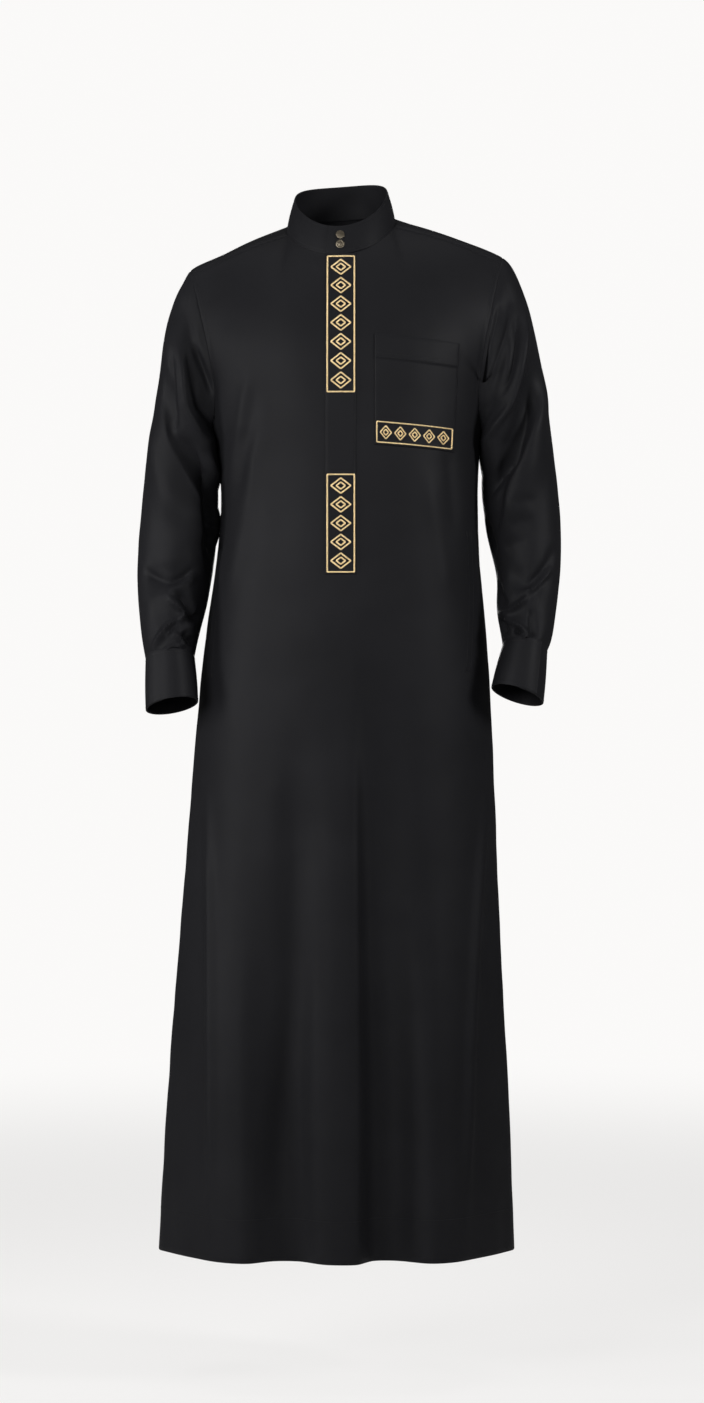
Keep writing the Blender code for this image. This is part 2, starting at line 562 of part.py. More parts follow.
class Garment:
    """The cloth panels, with the points that they share at their seams."""

    def __init__(self, grids, closed):
        self.grids = grids
        self.closed = closed
        joined = np.concatenate([g.reshape(-1, 3) for g in grids.values()])
        keys = np.round(joined * 1e6).astype(np.int64)
        _, self.shared = np.unique(keys, axis=0, return_inverse=True)
        self.shared = self.shared.reshape(-1)

    def corners(self, name):
        """The four corners of each cell of a panel, and whether its cells turn the other way."""
        grid = self.grids[name]
        rows, columns = grid.shape[:2]
        after = np.arange(1, columns + 1) % columns if self.closed[name] else np.arange(1, columns)
        before = np.arange(len(after))
        index = np.arange(rows * columns).reshape(rows, columns)
        return [
            index[:-1][:, before],
            index[:-1][:, after],
            index[1:][:, after],
            index[1:][:, before],
        ]

    def outward(self, name):
        """1 or -1, so that the panel's cell normals times it point out of the garment."""
        grid = self.grids[name]
        a, b, c, d = self.corners(name)
        flat = grid.reshape(-1, 3)
        normal = np.cross(flat[c] - flat[a], flat[d] - flat[b])
        middle = (flat[a] + flat[b] + flat[c] + flat[d]) / 4
        if self.closed[name]:
            core = grid.mean(axis=1)[:-1][:, None, :]
        else:
            core = middle * np.array([0.0, 0.0, 1.0]) - np.array([0.0, 0.0, 0.08])
        return 1.0 if (normal * (middle - core)).sum() > 0 else -1.0

    def normals(self):
        """Outward normals at every point, the same for all the panels that meet there."""
        total = np.zeros((self.shared.max() + 1, 3))
        start = 0
        for name, grid in self.grids.items():
            flat = grid.reshape(-1, 3)
            a, b, c, d = (i.ravel() for i in self.corners(name))
            normal = np.cross(flat[c] - flat[a], flat[d] - flat[b]) * self.outward(name)
            for corner in (a, b, c, d):
                np.add.at(total, self.shared[start + corner], normal)
            start += len(flat)
        total /= np.linalg.norm(total, axis=1, keepdims=True)
        found, start = {}, 0
        for name, grid in self.grids.items():
            count = grid.shape[0] * grid.shape[1]
            found[name] = total[self.shared[start : start + count]].reshape(grid.shape)
            start += count
        return found

    def crease(self, creases):
        """Presses or raises the folds that run across the panels."""
        normals = self.normals()
        for name, grid in self.grids.items():
            push = np.zeros(grid.shape[:2])
            for crease in creases:
                near, along = distance_to_line(grid[..., [0, 2]], np.array(crease.line))
                facing = ease(normals[name][..., 1] * crease.view * 2.0)
                taper = ease(np.minimum(along, 1 - along) / CREASE_TAPER)
                push += crease.depth * np.exp(-((near / crease.width) ** 2)) * facing * taper
            self.grids[name] = grid + normals[name] * push[..., None]


def distance_to_line(points, line):
    """Each point's distance to a bent line, and the share of the line up to its nearest point."""
    steps = np.linalg.norm(np.diff(line, axis=0), axis=1)
    total = steps.sum()
    best = np.full(points.shape[:-1], np.inf)
    along = np.zeros(points.shape[:-1])
    done = 0.0
    for start, end, step in zip(line[:-1], line[1:], steps):
        t = np.clip(((points - start) @ (end - start)) / step**2, 0, 1)
        gap = np.linalg.norm(points - (start + t[..., None] * (end - start)), axis=-1)
        closer = gap < best
        best = np.where(closer, gap, best)
        along = np.where(closer, (done + t * step) / total, along)
        done += step
    return best, along


def add_object(name, points, faces, material, collection):
    mesh = bpy.data.meshes.new(name)
    mesh.from_pydata([tuple(p) for p in points], [], faces)
    form = bmesh.new()
    form.from_mesh(mesh)
    bmesh.ops.recalc_face_normals(form, faces=form.faces)
    form.to_mesh(mesh)
    form.free()
    mesh.materials.append(material)
    mesh.shade_smooth()
    mesh.set_sharp_from_angle(angle=SHARP_ANGLE)
    obj = bpy.data.objects.new(name, mesh)
    collection.objects.link(obj)
    return obj


def wall(name, outer, inner, closed, material, collection):
    """A cloth wall between two grids of points. Both sides of each cell are split the same way."""
    rows, columns = outer.shape[:2]
    count = rows * columns
    index = np.arange(count).reshape(rows, columns)
    last = columns if closed else columns - 1
    faces = []
    for r in range(rows - 1):
        for c in range(last):
            n = (c + 1) % columns
            a, b, d, e = index[r, c], index[r, n], index[r + 1, n], index[r + 1, c]
            flat = outer.reshape(-1, 3)
            if np.linalg.norm(flat[a] - flat[d]) <= np.linalg.norm(flat[b] - flat[e]):
                cell = [(a, b, d), (a, d, e)]
            else:
                cell = [(a, b, e), (b, d, e)]
            faces += cell
            faces += [(k + count, j + count, i + count) for i, j, k in cell]
    rims = [[(index[r, c], index[r, (c + 1) % columns]) for c in range(last)] for r in (0, rows - 1)]
    if not closed:
        rims += [[(index[r, c], index[r + 1, c]) for r in range(rows - 1)] for c in (0, columns - 1)]
    points = np.concatenate([outer.reshape(-1, 3), inner.reshape(-1, 3)])
    for rim in rims:
        for i, j in rim:
            # Two panels that meet split their edges from the same end
            step = points[j] - points[i]
            if step[np.argmax(np.abs(step))] < 0:
                i, j = j, i
            faces += [(i, j, j + count), (i, j + count, i + count)]
    return add_object(name, points, [tuple(int(i) for i in f) for f in faces], material, collection)


def part_edges(grid, closed, edges):
    """How far each point of a panel is moved back from its seams, half the seam gap each way."""
    shift = np.zeros_like(grid)
    pairs = {
        "first_row": (0, 1, 0),
        "last_row": (-1, -2, 0),
        "first_column": (0, 1, 1),
        "last_column": (-1, -2, 1),
    }
    for edge in edges:
        at, inside, axis = pairs[edge]
        way = np.take(grid, inside, axis) - np.take(grid, at, axis)
        way = way / np.linalg.norm(way, axis=-1, keepdims=True) * (SEAM_GAP / 2)
        if axis == 0:
            shift[at] += way
        else:
            shift[:, at] += way
    return shift


def panel_sample(grid, row, column):
    """A point between a panel's points, at fractional rows and columns."""
    r = int(min(max(row, 0), grid.shape[0] - 2))
    c = int(min(max(column, 0), grid.shape[1] - 2))
    s, t = row - r, column - c
    low = grid[r, c] * (1 - t) + grid[r, c + 1] * t
    high = grid[r + 1, c] * (1 - t) + grid[r + 1, c + 1] * t
    return low * (1 - s) + high * s


def find_on_panel(grid, x, z):
    """The fractional row and column of a panel where it is at x and z in the front view."""
    indices = np.arange(len(grid))
    columns = np.array([np.interp(x, row[:, 0], np.arange(len(row))) for row in grid])
    heights = [panel_sample(grid, r, columns[r])[2] for r in indices]
    row = float(np.interp(z, heights, indices))
    return row, float(np.interp(row, indices, columns))


def make_placket(front, normals, material, collection):
    """The strip over the front opening, laid on the front's own points beside the centre line."""
    middle = front.shape[1] // 2
    columns = [middle - 1, middle, middle + 1]
    heights = front[:, middle, 2]
    end_row = float(np.interp(PLACKET_END_Z, heights, np.arange(len(heights))))
    rows = [end_row] + [r for r in range(len(heights)) if r > end_row + 0.2]
    under = np.array([[panel_sample(front, r, c) for c in columns] for r in rows])
    out = np.array([[panel_sample(normals, r, c) for c in columns] for r in rows])
    below = under + out * SEAM_GAP
    above = under + out * (SEAM_GAP + APPLIED_CLOTH)
    shift = part_edges(above, False, ["last_row"]) * (PLACKET_BELOW_COLLAR / SEAM_GAP * 2)
    return wall("placket", above + shift, below + shift, False, material, collection)


def make_pocket(front, normals, material, collection):
    """A patch pocket that follows the chest, thicker where its top is turned down."""
    outer_points, under_points = [], []
    for r in range(POCKET_ROWS + 1):
        down = r / POCKET_ROWS
        inner_z = POCKET_INNER_Z[0] + (POCKET_INNER_Z[1] - POCKET_INNER_Z[0]) * down
        outer_z = POCKET_OUTER_Z[0] + (POCKET_OUTER_Z[1] - POCKET_OUTER_Z[0]) * down
        outer_x = POCKET_OUTER_X[0] + (POCKET_OUTER_X[1] - POCKET_OUTER_X[0]) * down
        turned = down <= POCKET_HEM_SHARE + 1e-6
        thick = APPLIED_CLOTH + (POCKET_HEM_EXTRA if turned else 0.0)
        above, below = [], []
        for c in range(POCKET_COLUMNS + 1):
            share = c / POCKET_COLUMNS
            x = POCKET_INNER_X + (outer_x - POCKET_INNER_X) * share
            z = inner_z + (outer_z - inner_z) * share
            place = find_on_panel(front, x, z)
            point, out = panel_sample(front, *place), panel_sample(normals, *place)
            below.append(point + out * POCKET_CLEARANCE)
            above.append(point + out * (POCKET_CLEARANCE + thick))
        outer_points.append(above)
        under_points.append(below)
    return wall("pocket", np.array(outer_points), np.array(under_points), False, material, collection)


def lapped_band(name, low, high, outward, angles, lap, material, collection):
    """A firm band whose last stretch lies over its first, between a low and a high ring of points."""
    low = np.array([low(a) for a in angles])
    high = np.array([high(a) for a in angles])
    out = np.array([outward(a) for a in angles])
    swept = np.abs(angles - angles[0])
    rise = ease((swept - (swept[-1] - LAP_RISE_FROM * lap)) / (LAP_RISE_OVER * lap))[:, None]
    outer_rows, inner_rows = [], []
    for k in range(BAND_ROWS + 1):
        share = k / BAND_ROWS
        row = low + (high - low) * share + out * rise * (FIRM_CLOTH + SEAM_GAP)
        row = row + out * BAND_BOW * math.sin(math.pi * share)
        outer_rows.append(row)
        inner_rows.append(row - out * FIRM_CLOTH)
    return wall(name, np.array(outer_rows), np.array(inner_rows), False, material, collection)


def make_collar(material, collection):
    """The stand collar. Its outer end lies over the inner one, right of the wearer's centre line."""
    angles = np.linspace(COLLAR_LAP_ANGLE, -360 - COLLAR_LAP_ANGLE, COLLAR_STEPS + 1)
    rise = np.array([0.0, 0.0, COLLAR_SEAM_LIFT])

    def outward(angle):
        turn = math.radians(angle)
        return np.array([math.sin(turn), -math.cos(turn), 0.0])

    return lapped_band(
        "collar",
        lambda a: neck_point(COLLAR_BASE, a) + rise,
        lambda a: neck_point(COLLAR_TOP, a),
        outward,
        angles,
        2 * COLLAR_LAP_ANGLE,
        material,
        collection,
    )


def make_cuff(side_name, material, collection):
    """A cuff: a firm band from the sleeve's end to the wrist, lapped near its outer edge."""
    top, end = SLEEVES[side_name][-1], CUFF_ENDS[side_name]
    lap_at = CUFF_LAP_AT[side_name]
    angles = np.linspace(lap_at + CUFF_LAP_LENGTH, lap_at - 360, CUFF_STEPS + 1)
    middle = {ring: ring_points(ring, np.array([90.0, -90.0])).mean(axis=0) for ring in (top, end)}
    drop = middle[end] - middle[top]
    drop = drop / np.linalg.norm(drop)

    def outward(angle):
        way = ring_points(top, np.array([angle]))[0] - middle[top]
        way -= drop * (way @ drop)
        return way / np.linalg.norm(way)

    return lapped_band(
        "cuff_" + side_name,
        lambda a: ring_points(end, np.array([a]))[0],
        lambda a: ring_points(top, np.array([a]))[0] + drop * SEAM_GAP,
        outward,
        angles,
        CUFF_LAP_LENGTH,
        material,
        collection,
    )


def make_snap(name, share, material, collection):
    """A metal snap cap on the collar's overlap: a rim, a groove and a low dome."""
    mesh = bpy.data.meshes.new(name)
    points = [(step.radius * SNAP_RADIUS, 0.0, step.height * SNAP_HEIGHT) for step in SNAP_PROFILE]
    mesh.from_pydata(points, [(i, i + 1) for i in range(len(points) - 1)], [])
    mesh.materials.append(material)
    obj = bpy.data.objects.new(name, mesh)
    collection.objects.link(obj)
    screw = obj.modifiers.new("turned", "SCREW")
    screw.axis = "Z"
    screw.angle = 2 * math.pi
    screw.steps = screw.render_steps = SNAP_STEPS
    screw.use_merge_vertices = True
    screw.merge_threshold = 0.00001
    screw.use_smooth_shade = True
    low, high = neck_point(COLLAR_BASE, 0), neck_point(COLLAR_TOP, 0)
    up = (high - low) / np.linalg.norm(high - low)
    out = Vector(np.cross(up, [1.0, 0.0, 0.0]))
    if out.y > 0:
        out = -out
    bow = BAND_BOW * math.sin(math.pi * share)
    stand = FIRM_CLOTH + SEAM_GAP + bow + SEAM_GAP
    obj.location = low + (high - low) * share + np.array([SNAP_X, -stand, 0.0])
    obj.rotation_mode = "QUATERNION"
    obj.rotation_quaternion = out.to_track_quat("Z", "Y")
    return obj


def main():
    clear_scene()
    collection = bpy.data.collections.new("thobe")
    bpy.context.scene.collection.children.link(collection)
    cloth = cloth_material("charcoal_suiting", CHARCOAL, 0.62)
    metal = cloth_material("aged_metal", GUNMETAL, 0.42, 0.9)

    front = front_grid()
    back = back_grid()
    sleeves = {name: sleeve_grid(name) for name in ("right", "left")}
    yoke = yoke_grid(front, back, sleeves)
    grids = {"front": front, "back": back, "yoke": yoke}
    closed = dict.fromkeys(grids, False)
    for name, grid in sleeves.items():
        grids["sleeve_" + name] = grid
        closed["sleeve_" + name] = True
    garment = Garment(grids, closed)
    garment.crease(CREASES)
    normals = garment.normals()

    seams = {
        "front": ["last_row", "first_column", "last_column"],
        "back": ["last_row", "first_column", "last_column"],
        "yoke": ["last_row", "first_column", "last_column"],
        "sleeve_right": ["first_row"],
        "sleeve_left": ["first_row"],
    }
    for name, grid in garment.grids.items():
        shift = part_edges(grid, closed[name], seams[name])
        outer, inner = grid + shift, grid - normals[name] * CLOTH + shift
        wall(name, outer, inner, closed[name], cloth, collection)
    make_placket(garment.grids["front"], normals["front"], cloth, collection)
    make_pocket(garment.grids["front"], normals["front"], cloth, collection)
    make_collar(cloth, collection)
    for side_name in ("right", "left"):
        make_cuff(side_name, cloth, collection)
    for name, share in SNAP_SHARES.items():
        make_snap("snap_" + name, share, metal, collection)


main()
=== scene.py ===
# Looks of a men's thobe: black suiting, a stand collar with two snaps, gold embroidery on the
# placket and on the chest pocket. Metres, +Z up, the front faces -Y and +X is the robe's own left.
import math

import bmesh
import bpy
import numpy as np
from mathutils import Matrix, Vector, noise
from mathutils.bvhtree import BVHTree
from mathutils.kdtree import KDTree


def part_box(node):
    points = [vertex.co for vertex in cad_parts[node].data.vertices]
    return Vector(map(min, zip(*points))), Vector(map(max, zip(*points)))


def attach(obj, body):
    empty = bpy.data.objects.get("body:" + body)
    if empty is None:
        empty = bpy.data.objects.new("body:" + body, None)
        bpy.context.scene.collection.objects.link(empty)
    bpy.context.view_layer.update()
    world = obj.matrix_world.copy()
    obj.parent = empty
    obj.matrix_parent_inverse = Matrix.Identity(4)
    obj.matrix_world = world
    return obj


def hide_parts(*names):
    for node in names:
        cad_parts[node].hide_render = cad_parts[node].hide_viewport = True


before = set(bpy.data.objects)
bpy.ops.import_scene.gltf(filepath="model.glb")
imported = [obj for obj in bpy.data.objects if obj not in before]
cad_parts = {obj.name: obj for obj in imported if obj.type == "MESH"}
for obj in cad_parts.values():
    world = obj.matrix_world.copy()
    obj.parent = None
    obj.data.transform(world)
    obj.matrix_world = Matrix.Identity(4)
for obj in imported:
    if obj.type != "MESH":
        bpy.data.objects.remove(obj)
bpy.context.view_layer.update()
bpy.ops.object.select_all(action="DESELECT")
print("frame loaded")


def linear(hexTone):
    tone = hexTone.lstrip("#")
    parts = [int(tone[i : i + 2], 16) / 255 for i in (0, 2, 4)]
    return tuple(p / 12.92 if p <= 0.04045 else ((p + 0.055) / 1.055) ** 2.4 for p in parts) + (1.0,)


def addNode(tree, kind, settings=None, links=None):
    node = tree.nodes.new(kind)
    for key, value in (settings or {}).items():
        if isinstance(key, str) and hasattr(node, key):
            setattr(node, key, value)
        else:
            node.inputs[key].default_value = value
    for key, source in (links or {}).items():
        tree.links.new(source, node.inputs[key])
    return node


def newMaterial(name, settings):
    material = bpy.data.materials.new(name)
    material.use_nodes = True
    tree = material.node_tree
    shader = tree.nodes["Principled BSDF"]
    for key, value in settings.items():
        shader.inputs[key].default_value = value
    return material, tree, shader


def newObject(name, mesh):
    piece = bpy.data.objects.new(name, mesh)
    bpy.context.scene.collection.objects.link(piece)
    return piece


def pieceFrom(name, source, *materials):  # a piece from a bmesh, which is freed
    mesh = bpy.data.meshes.new(name)
    source.to_mesh(mesh)
    source.free()
    for material in materials:
        mesh.materials.append(material)
    return newObject(name, mesh)


def finishWith(piece, kind, **settings):  # adds a modifier and applies it
    modifier = piece.modifiers.new(kind.lower(), kind)
    for key, value in settings.items():
        setattr(modifier, key, value)
    bpy.context.view_layer.objects.active = piece
    bpy.ops.object.modifier_apply(modifier=modifier.name)


def smoothByAngle(piece, degrees):
    bpy.ops.object.select_all(action="DESELECT")
    piece.select_set(True)
    bpy.context.view_layer.objects.active = piece
    bpy.ops.object.shade_smooth_by_angle(angle=math.radians(degrees))
    piece.select_set(False)


def declare(piece, node=None):
    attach(piece, "root")
    if node:
        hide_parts(node)


def treeOf(mesh, faces):
    return BVHTree.FromPolygons([v.co for v in mesh.vertices], [f.vertices for f in faces])


def finishSheet(piece, node, thickness, degrees, rounding=None, **settings):
    # measures the bare sheet, then gives it its thickness inwards
    mesh = piece.data
    area, tree = sum(f.area for f in mesh.polygons), treeOf(mesh, mesh.polygons)
    finishWith(piece, "SOLIDIFY", thickness=thickness, offset=-1.0, **settings)
    if rounding:
        finishWith(piece, "BEVEL", width=rounding, segments=2, limit_method="ANGLE",
                   angle_limit=math.radians(60))
    smoothByAngle(piece, degrees)
    declare(piece, node)
    print(f"{piece.name} area {area:.4f} faces {len(mesh.polygons)}")
    return piece, tree


def unit(way):
    return way / np.linalg.norm(way)


def inFrom(edge, inside, gap):  # a point that far in from an edge
    return edge + unit(inside - edge) * gap


def ease(s):
    s = np.clip(s, 0.0, 1.0)
    return s * s * (3 - 2 * s)


def between(a, b, slopeA, slopeB, t):
    return ((2 * t**3 - 3 * t**2 + 1) * a + (t**3 - 2 * t**2 + t) * slopeA
            + (3 * t**2 - 2 * t**3) * b + (t**3 - t**2) * slopeB)


def throughPoints(points, count):  # a smooth line through a few points
    points = np.array(points, float)
    slope = np.gradient(points, axis=0)
    places = np.linspace(0, len(points) - 1, count)
    i = np.minimum(places.astype(int), len(points) - 2)
    return between(points[i], points[i + 1], slope[i], slope[i + 1], (places - i)[:, None])


def placesOf(mesh, source="vertices", key="co"):
    places = np.zeros(len(mesh.vertices) * 3)
    getattr(mesh, source).foreach_get(key, places)
    return places.reshape(-1, 3)


# Camera, stage and lights
view = {
    "height": -0.6566,  # level with the middle of the picture
    "aside": 0.0150,
    "away": 5.0,
    "lens": 93.07,  # on a 36 mm long side
}
stage = {
    "floorZ": -1.590,
    "radius": 16.0,
    "tone": "#F4F3F2",
    "fade": (1.1, 4.5),  # metres from the middle, where the floor melts into the room's own tone
    "glow": 0.72,  # the room's share in the floor's tone near the middle
    "beyond": 1.06,  # how light the room looks
    "ambient": 0.07,  # the light that it gives
}
lamps = {
    # name: place, what it faces, size (wide, tall), beam in degrees, power in watts
    "keyLeft": ((-2.0, -2.7, 0.35), (-0.05, 0.0, -0.36), (1.8, 1.4), 80, 22.0),
    "keyRight": ((3.0, -1.6, 0.60), (0.16, 0.0, -0.32), (0.8, 1.0), 60, 10.0),
    "rimLeft": ((-3.0, -0.8, -0.2), (-0.25, 0.0, -0.60), (0.7, 1.4), 60, 6.5),
    "fill": ((0.8, -3.8, 0.40), (0.0, 0.0, -0.40), (1.4, 1.4), 80, 5.5),
    "top": ((0.0, 0.0, 2.20), (0.0, 0.0, -0.20), (2.4, 1.2), 100, 7.0),
    "back": ((0.0, 3.6, 0.10), (0.0, 0.0, -0.60), (1.6, 1.4), 80, 12.0),
}


def makeCamera():
    lens = bpy.data.cameras.new("photoView")
    camera = newObject("photoView", lens)
    lens.sensor_width = 36.0
    lens.lens = view["lens"]
    lens.clip_end = 60.0
    camera.location = (view["aside"], -view["away"], view["height"])
    camera.rotation_euler = (math.radians(90), 0, 0)
    bpy.context.scene.camera = camera


def makeStage():
    material, tree, shader = newMaterial("matte_painted_floor", {  # flat studio paint, no gloss
        "Base Color": linear(stage["tone"]), "Roughness": 0.92, "Specular IOR Level": 0.1})
    place = addNode(tree, "ShaderNodeTexCoord")
    away = addNode(tree, "ShaderNodeVectorMath", {"operation": "LENGTH"}, {0: place.outputs["Object"]})
    near, far = stage["fade"]
    fade = addNode(tree, "ShaderNodeMapRange", {"interpolation_type": "SMOOTHSTEP", "From Min": near,
                   "From Max": far, "To Min": stage["glow"]}, {"Value": away.outputs["Value"]})
    seen = addNode(tree, "ShaderNodeLightPath")
    share = addNode(tree, "ShaderNodeMath", {"operation": "MULTIPLY"},
                    {0: fade.outputs["Result"], 1: seen.outputs["Is Camera Ray"]})
    room = addNode(tree, "ShaderNodeEmission", {"Color": linear(stage["tone"]), "Strength": stage["beyond"]})
    both = addNode(tree, "ShaderNodeMixShader", {}, {0: share.outputs["Value"], 1: shader.outputs["BSDF"],
                   2: room.outputs["Emission"]})
    output = next(n for n in tree.nodes if n.type == "OUTPUT_MATERIAL")
    tree.links.new(both.outputs["Shader"], output.inputs["Surface"])
    bpy.ops.mesh.primitive_circle_add(vertices=96, radius=stage["radius"], fill_type="NGON",
                                      location=(0, 0, stage["floorZ"]))
    floor = bpy.context.object
    floor.name = "studio_floor"
    floor.data.materials.append(material)
    floor.select_set(False)


def makeLights():
    for name, (place, aim, size, beam, power) in lamps.items():
        lamp = bpy.data.lights.new(name, "AREA")
        lamp.shape = "RECTANGLE"
        lamp.size, lamp.size_y = size
        lamp.energy = power
        lamp.spread = math.radians(beam)
        holder = newObject(name, lamp)
        holder.location = place
        holder.visible_camera = False
        holder.rotation_euler = (Vector(aim) - Vector(place)).to_track_quat("-Z", "Y").to_euler()
    world = bpy.data.worlds.new("studio")
    world.use_nodes = True
    sky = world.node_tree.nodes["Background"]
    sky.inputs["Color"].default_value = linear(stage["tone"])
    seen = addNode(world.node_tree, "ShaderNodeLightPath")
    level = addNode(world.node_tree, "ShaderNodeMapRange", {"To Min": stage["ambient"],
                    "To Max": stage["beyond"]}, {"Value": seen.outputs["Is Camera Ray"]})
    world.node_tree.links.new(level.outputs["Result"], sky.inputs["Strength"])
    bpy.context.scene.world = world
    bpy.context.scene.view_settings.view_transform = "Standard"


makeCamera()
makeStage()
makeLights()
print("camera, stage and lights set")

# Materials
suitingLook = {
    "tone": "#151517",
    "warpTone": "#1A1A1C",
    "twill": 0.0011,  # rib spacing in metres; the real 0.5 mm would be too fine to show
    "slant": 52,  # the ribs' turn in degrees
    "roughness": 0.50,
}
goldLook = {
    "tone": "#E6CF9E",
    # the darker tone is painted shade in the gaps between stitches
    "gapShadeTone": "#A5824A",
    "thread": 0.0007,  # spacing of the satin stitches along a cord, drawn a little coarse
    "slant": 12,
}
waveScale = 0.314  # a wave texture's scale times its spacing


def makeSuiting():
    # Woven worsted: fine diagonal ribs and a soft broad shine, a little uneven over the cloth
    look = suitingLook
    material, tree, shader = newMaterial("wool_blend_twill_suiting", {"Specular IOR Level": 0.05, "IOR": 1.5})
    place = {"Vector": addNode(tree, "ShaderNodeUVMap", {"uv_map": "cloth"}).outputs["UV"]}
    turned = addNode(tree, "ShaderNodeMapping", {"Rotation": (0, 0, math.radians(look["slant"]))}, place)
    rib = addNode(tree, "ShaderNodeTexWave", {"wave_type": "BANDS", "bands_direction": "X",
                  "Scale": waveScale / look["twill"], "Distortion": 0.7, "Detail": 1.0, "Detail Scale": 0.6},
                  {"Vector": turned.outputs["Vector"]})
    slub = addNode(tree, "ShaderNodeTexNoise", {"Scale": 420.0, "Detail": 2.0}, place)
    wide = addNode(tree, "ShaderNodeTexNoise", {"Scale": 7.0, "Detail": 3.0}, place)
    mixed = addNode(tree, "ShaderNodeMix", {"data_type": "RGBA", 6: linear(look["tone"]),
                    7: linear(look["warpTone"])}, {0: rib.outputs["Fac"]})
    shade = addNode(tree, "ShaderNodeMapRange", {"From Min": 0.3, "From Max": 0.7, "To Min": 0.90,
                    "To Max": 1.10}, {"Value": wide.outputs["Fac"]})
    toned = addNode(tree, "ShaderNodeHueSaturation", {},
                    {"Color": mixed.outputs[2], "Value": shade.outputs["Result"]})
    tree.links.new(toned.outputs["Color"], shader.inputs["Base Color"])
    gloss = addNode(tree, "ShaderNodeMapRange", {"From Min": 0.25, "From Max": 0.75,
                    "To Min": look["roughness"] - 0.04, "To Max": look["roughness"] + 0.05},
                    {"Value": slub.outputs["Fac"]})
    tree.links.new(gloss.outputs["Result"], shader.inputs["Roughness"])
    fine = addNode(tree, "ShaderNodeBump", {"Strength": 0.25, "Distance": 0.00012},
                   {"Height": rib.outputs["Fac"]})
    uneven = addNode(tree, "ShaderNodeBump", {"Strength": 0.3, "Distance": 0.00015},
                     {"Height": slub.outputs["Fac"], "Normal": fine.outputs["Normal"]})
    tree.links.new(uneven.outputs["Normal"], shader.inputs["Normal"])
    return material


def makeGoldThread():
    # Satin-stitched metallic thread: close stitches across each cord, bright tops, and the gaps between them
    # darkened with painted shade
    look = goldLook
    material, tree, shader = newMaterial("satin_stitched_gold_thread", {
        "Metallic": 0.35, "Roughness": 0.36, "Specular IOR Level": 0.5, "Sheen Weight": 0.2,
        "Sheen Roughness": 0.4})
    place = {"Vector": addNode(tree, "ShaderNodeUVMap", {"uv_map": "thread"}).outputs["UV"]}
    turned = addNode(tree, "ShaderNodeMapping", {"Rotation": (0, 0, math.radians(look["slant"]))}, place)
    stitch = addNode(tree, "ShaderNodeTexWave", {"wave_type": "BANDS", "bands_direction": "X",
                     "Scale": waveScale / look["thread"], "Distortion": 0.4, "Detail": 1.0},
                     {"Vector": turned.outputs["Vector"]})
    patch = addNode(tree, "ShaderNodeTexNoise", {"Scale": 260.0, "Detail": 2.0}, place)
    # the low parts of the stitch wave take the darker tone: painted shade in the gaps between stitches
    level = addNode(tree, "ShaderNodeMapRange", {"From Min": 0.05, "From Max": 0.6},
                    {"Value": stitch.outputs["Fac"]})
    mixed = addNode(tree, "ShaderNodeMix", {"data_type": "RGBA", 6: linear(look["gapShadeTone"]),
                    7: linear(look["tone"])}, {0: level.outputs["Result"]})
    shade = addNode(tree, "ShaderNodeMapRange", {"From Min": 0.3, "From Max": 0.7, "To Min": 0.86,
                    "To Max": 1.14}, {"Value": patch.outputs["Fac"]})
    toned = addNode(tree, "ShaderNodeHueSaturation", {},
                    {"Color": mixed.outputs[2], "Value": shade.outputs["Result"]})
    tree.links.new(toned.outputs["Color"], shader.inputs["Base Color"])
    ridge = addNode(tree, "ShaderNodeBump", {"Strength": 0.5, "Distance": 0.0002},
                    {"Height": stitch.outputs["Fac"]})
    tree.links.new(ridge.outputs["Normal"], shader.inputs["Normal"])
    return material


def makeBlackThread():
    # Spun polyester sewing thread: a little glossier than the cloth, with a fine twist
    material, tree, shader = newMaterial("black_sewing_thread", {
        "Roughness": 0.50, "Specular IOR Level": 0.2})
    place = addNode(tree, "ShaderNodeTexCoord")
    twist = addNode(tree, "ShaderNodeTexNoise", {"Scale": 1500.0}, {"Vector": place.outputs["Object"]})
    tone = addNode(tree, "ShaderNodeMix", {"data_type": "RGBA", 6: linear("#0D0D0E"), 7: linear("#18181A")},
                   {0: twist.outputs["Fac"]})
    tree.links.new(tone.outputs[2], shader.inputs["Base Color"])
    return material


def makeSnapMetal():
    # Antiqued brass cap: worn bright and dark in fine spots, satin finish
    material, tree, shader = newMaterial("antiqued_brass", {"Metallic": 1.0})
    place = addNode(tree, "ShaderNodeTexCoord")
    spots = addNode(tree, "ShaderNodeTexNoise", {"Scale": 900.0, "Detail": 4.0},
                    {"Vector": place.outputs["Object"]})
    tone = addNode(tree, "ShaderNodeMix", {"data_type": "RGBA", 6: linear("#4B453B"), 7: linear("#857C6C")},
                   {0: spots.outputs["Fac"]})
    tree.links.new(tone.outputs[2], shader.inputs["Base Color"])
    gloss = addNode(tree, "ShaderNodeMapRange", {"To Min": 0.30, "To Max": 0.52},
                    {"Value": spots.outputs["Fac"]})
    tree.links.new(gloss.outputs["Result"], shader.inputs["Roughness"])
    return material


suiting = makeSuiting()
goldThread = makeGoldThread()
blackThread = makeBlackThread()
snapMetal = makeSnapMetal()
print("materials made")

# The CAD walls are read back as rows and columns of points
sameSpot = 1e-5


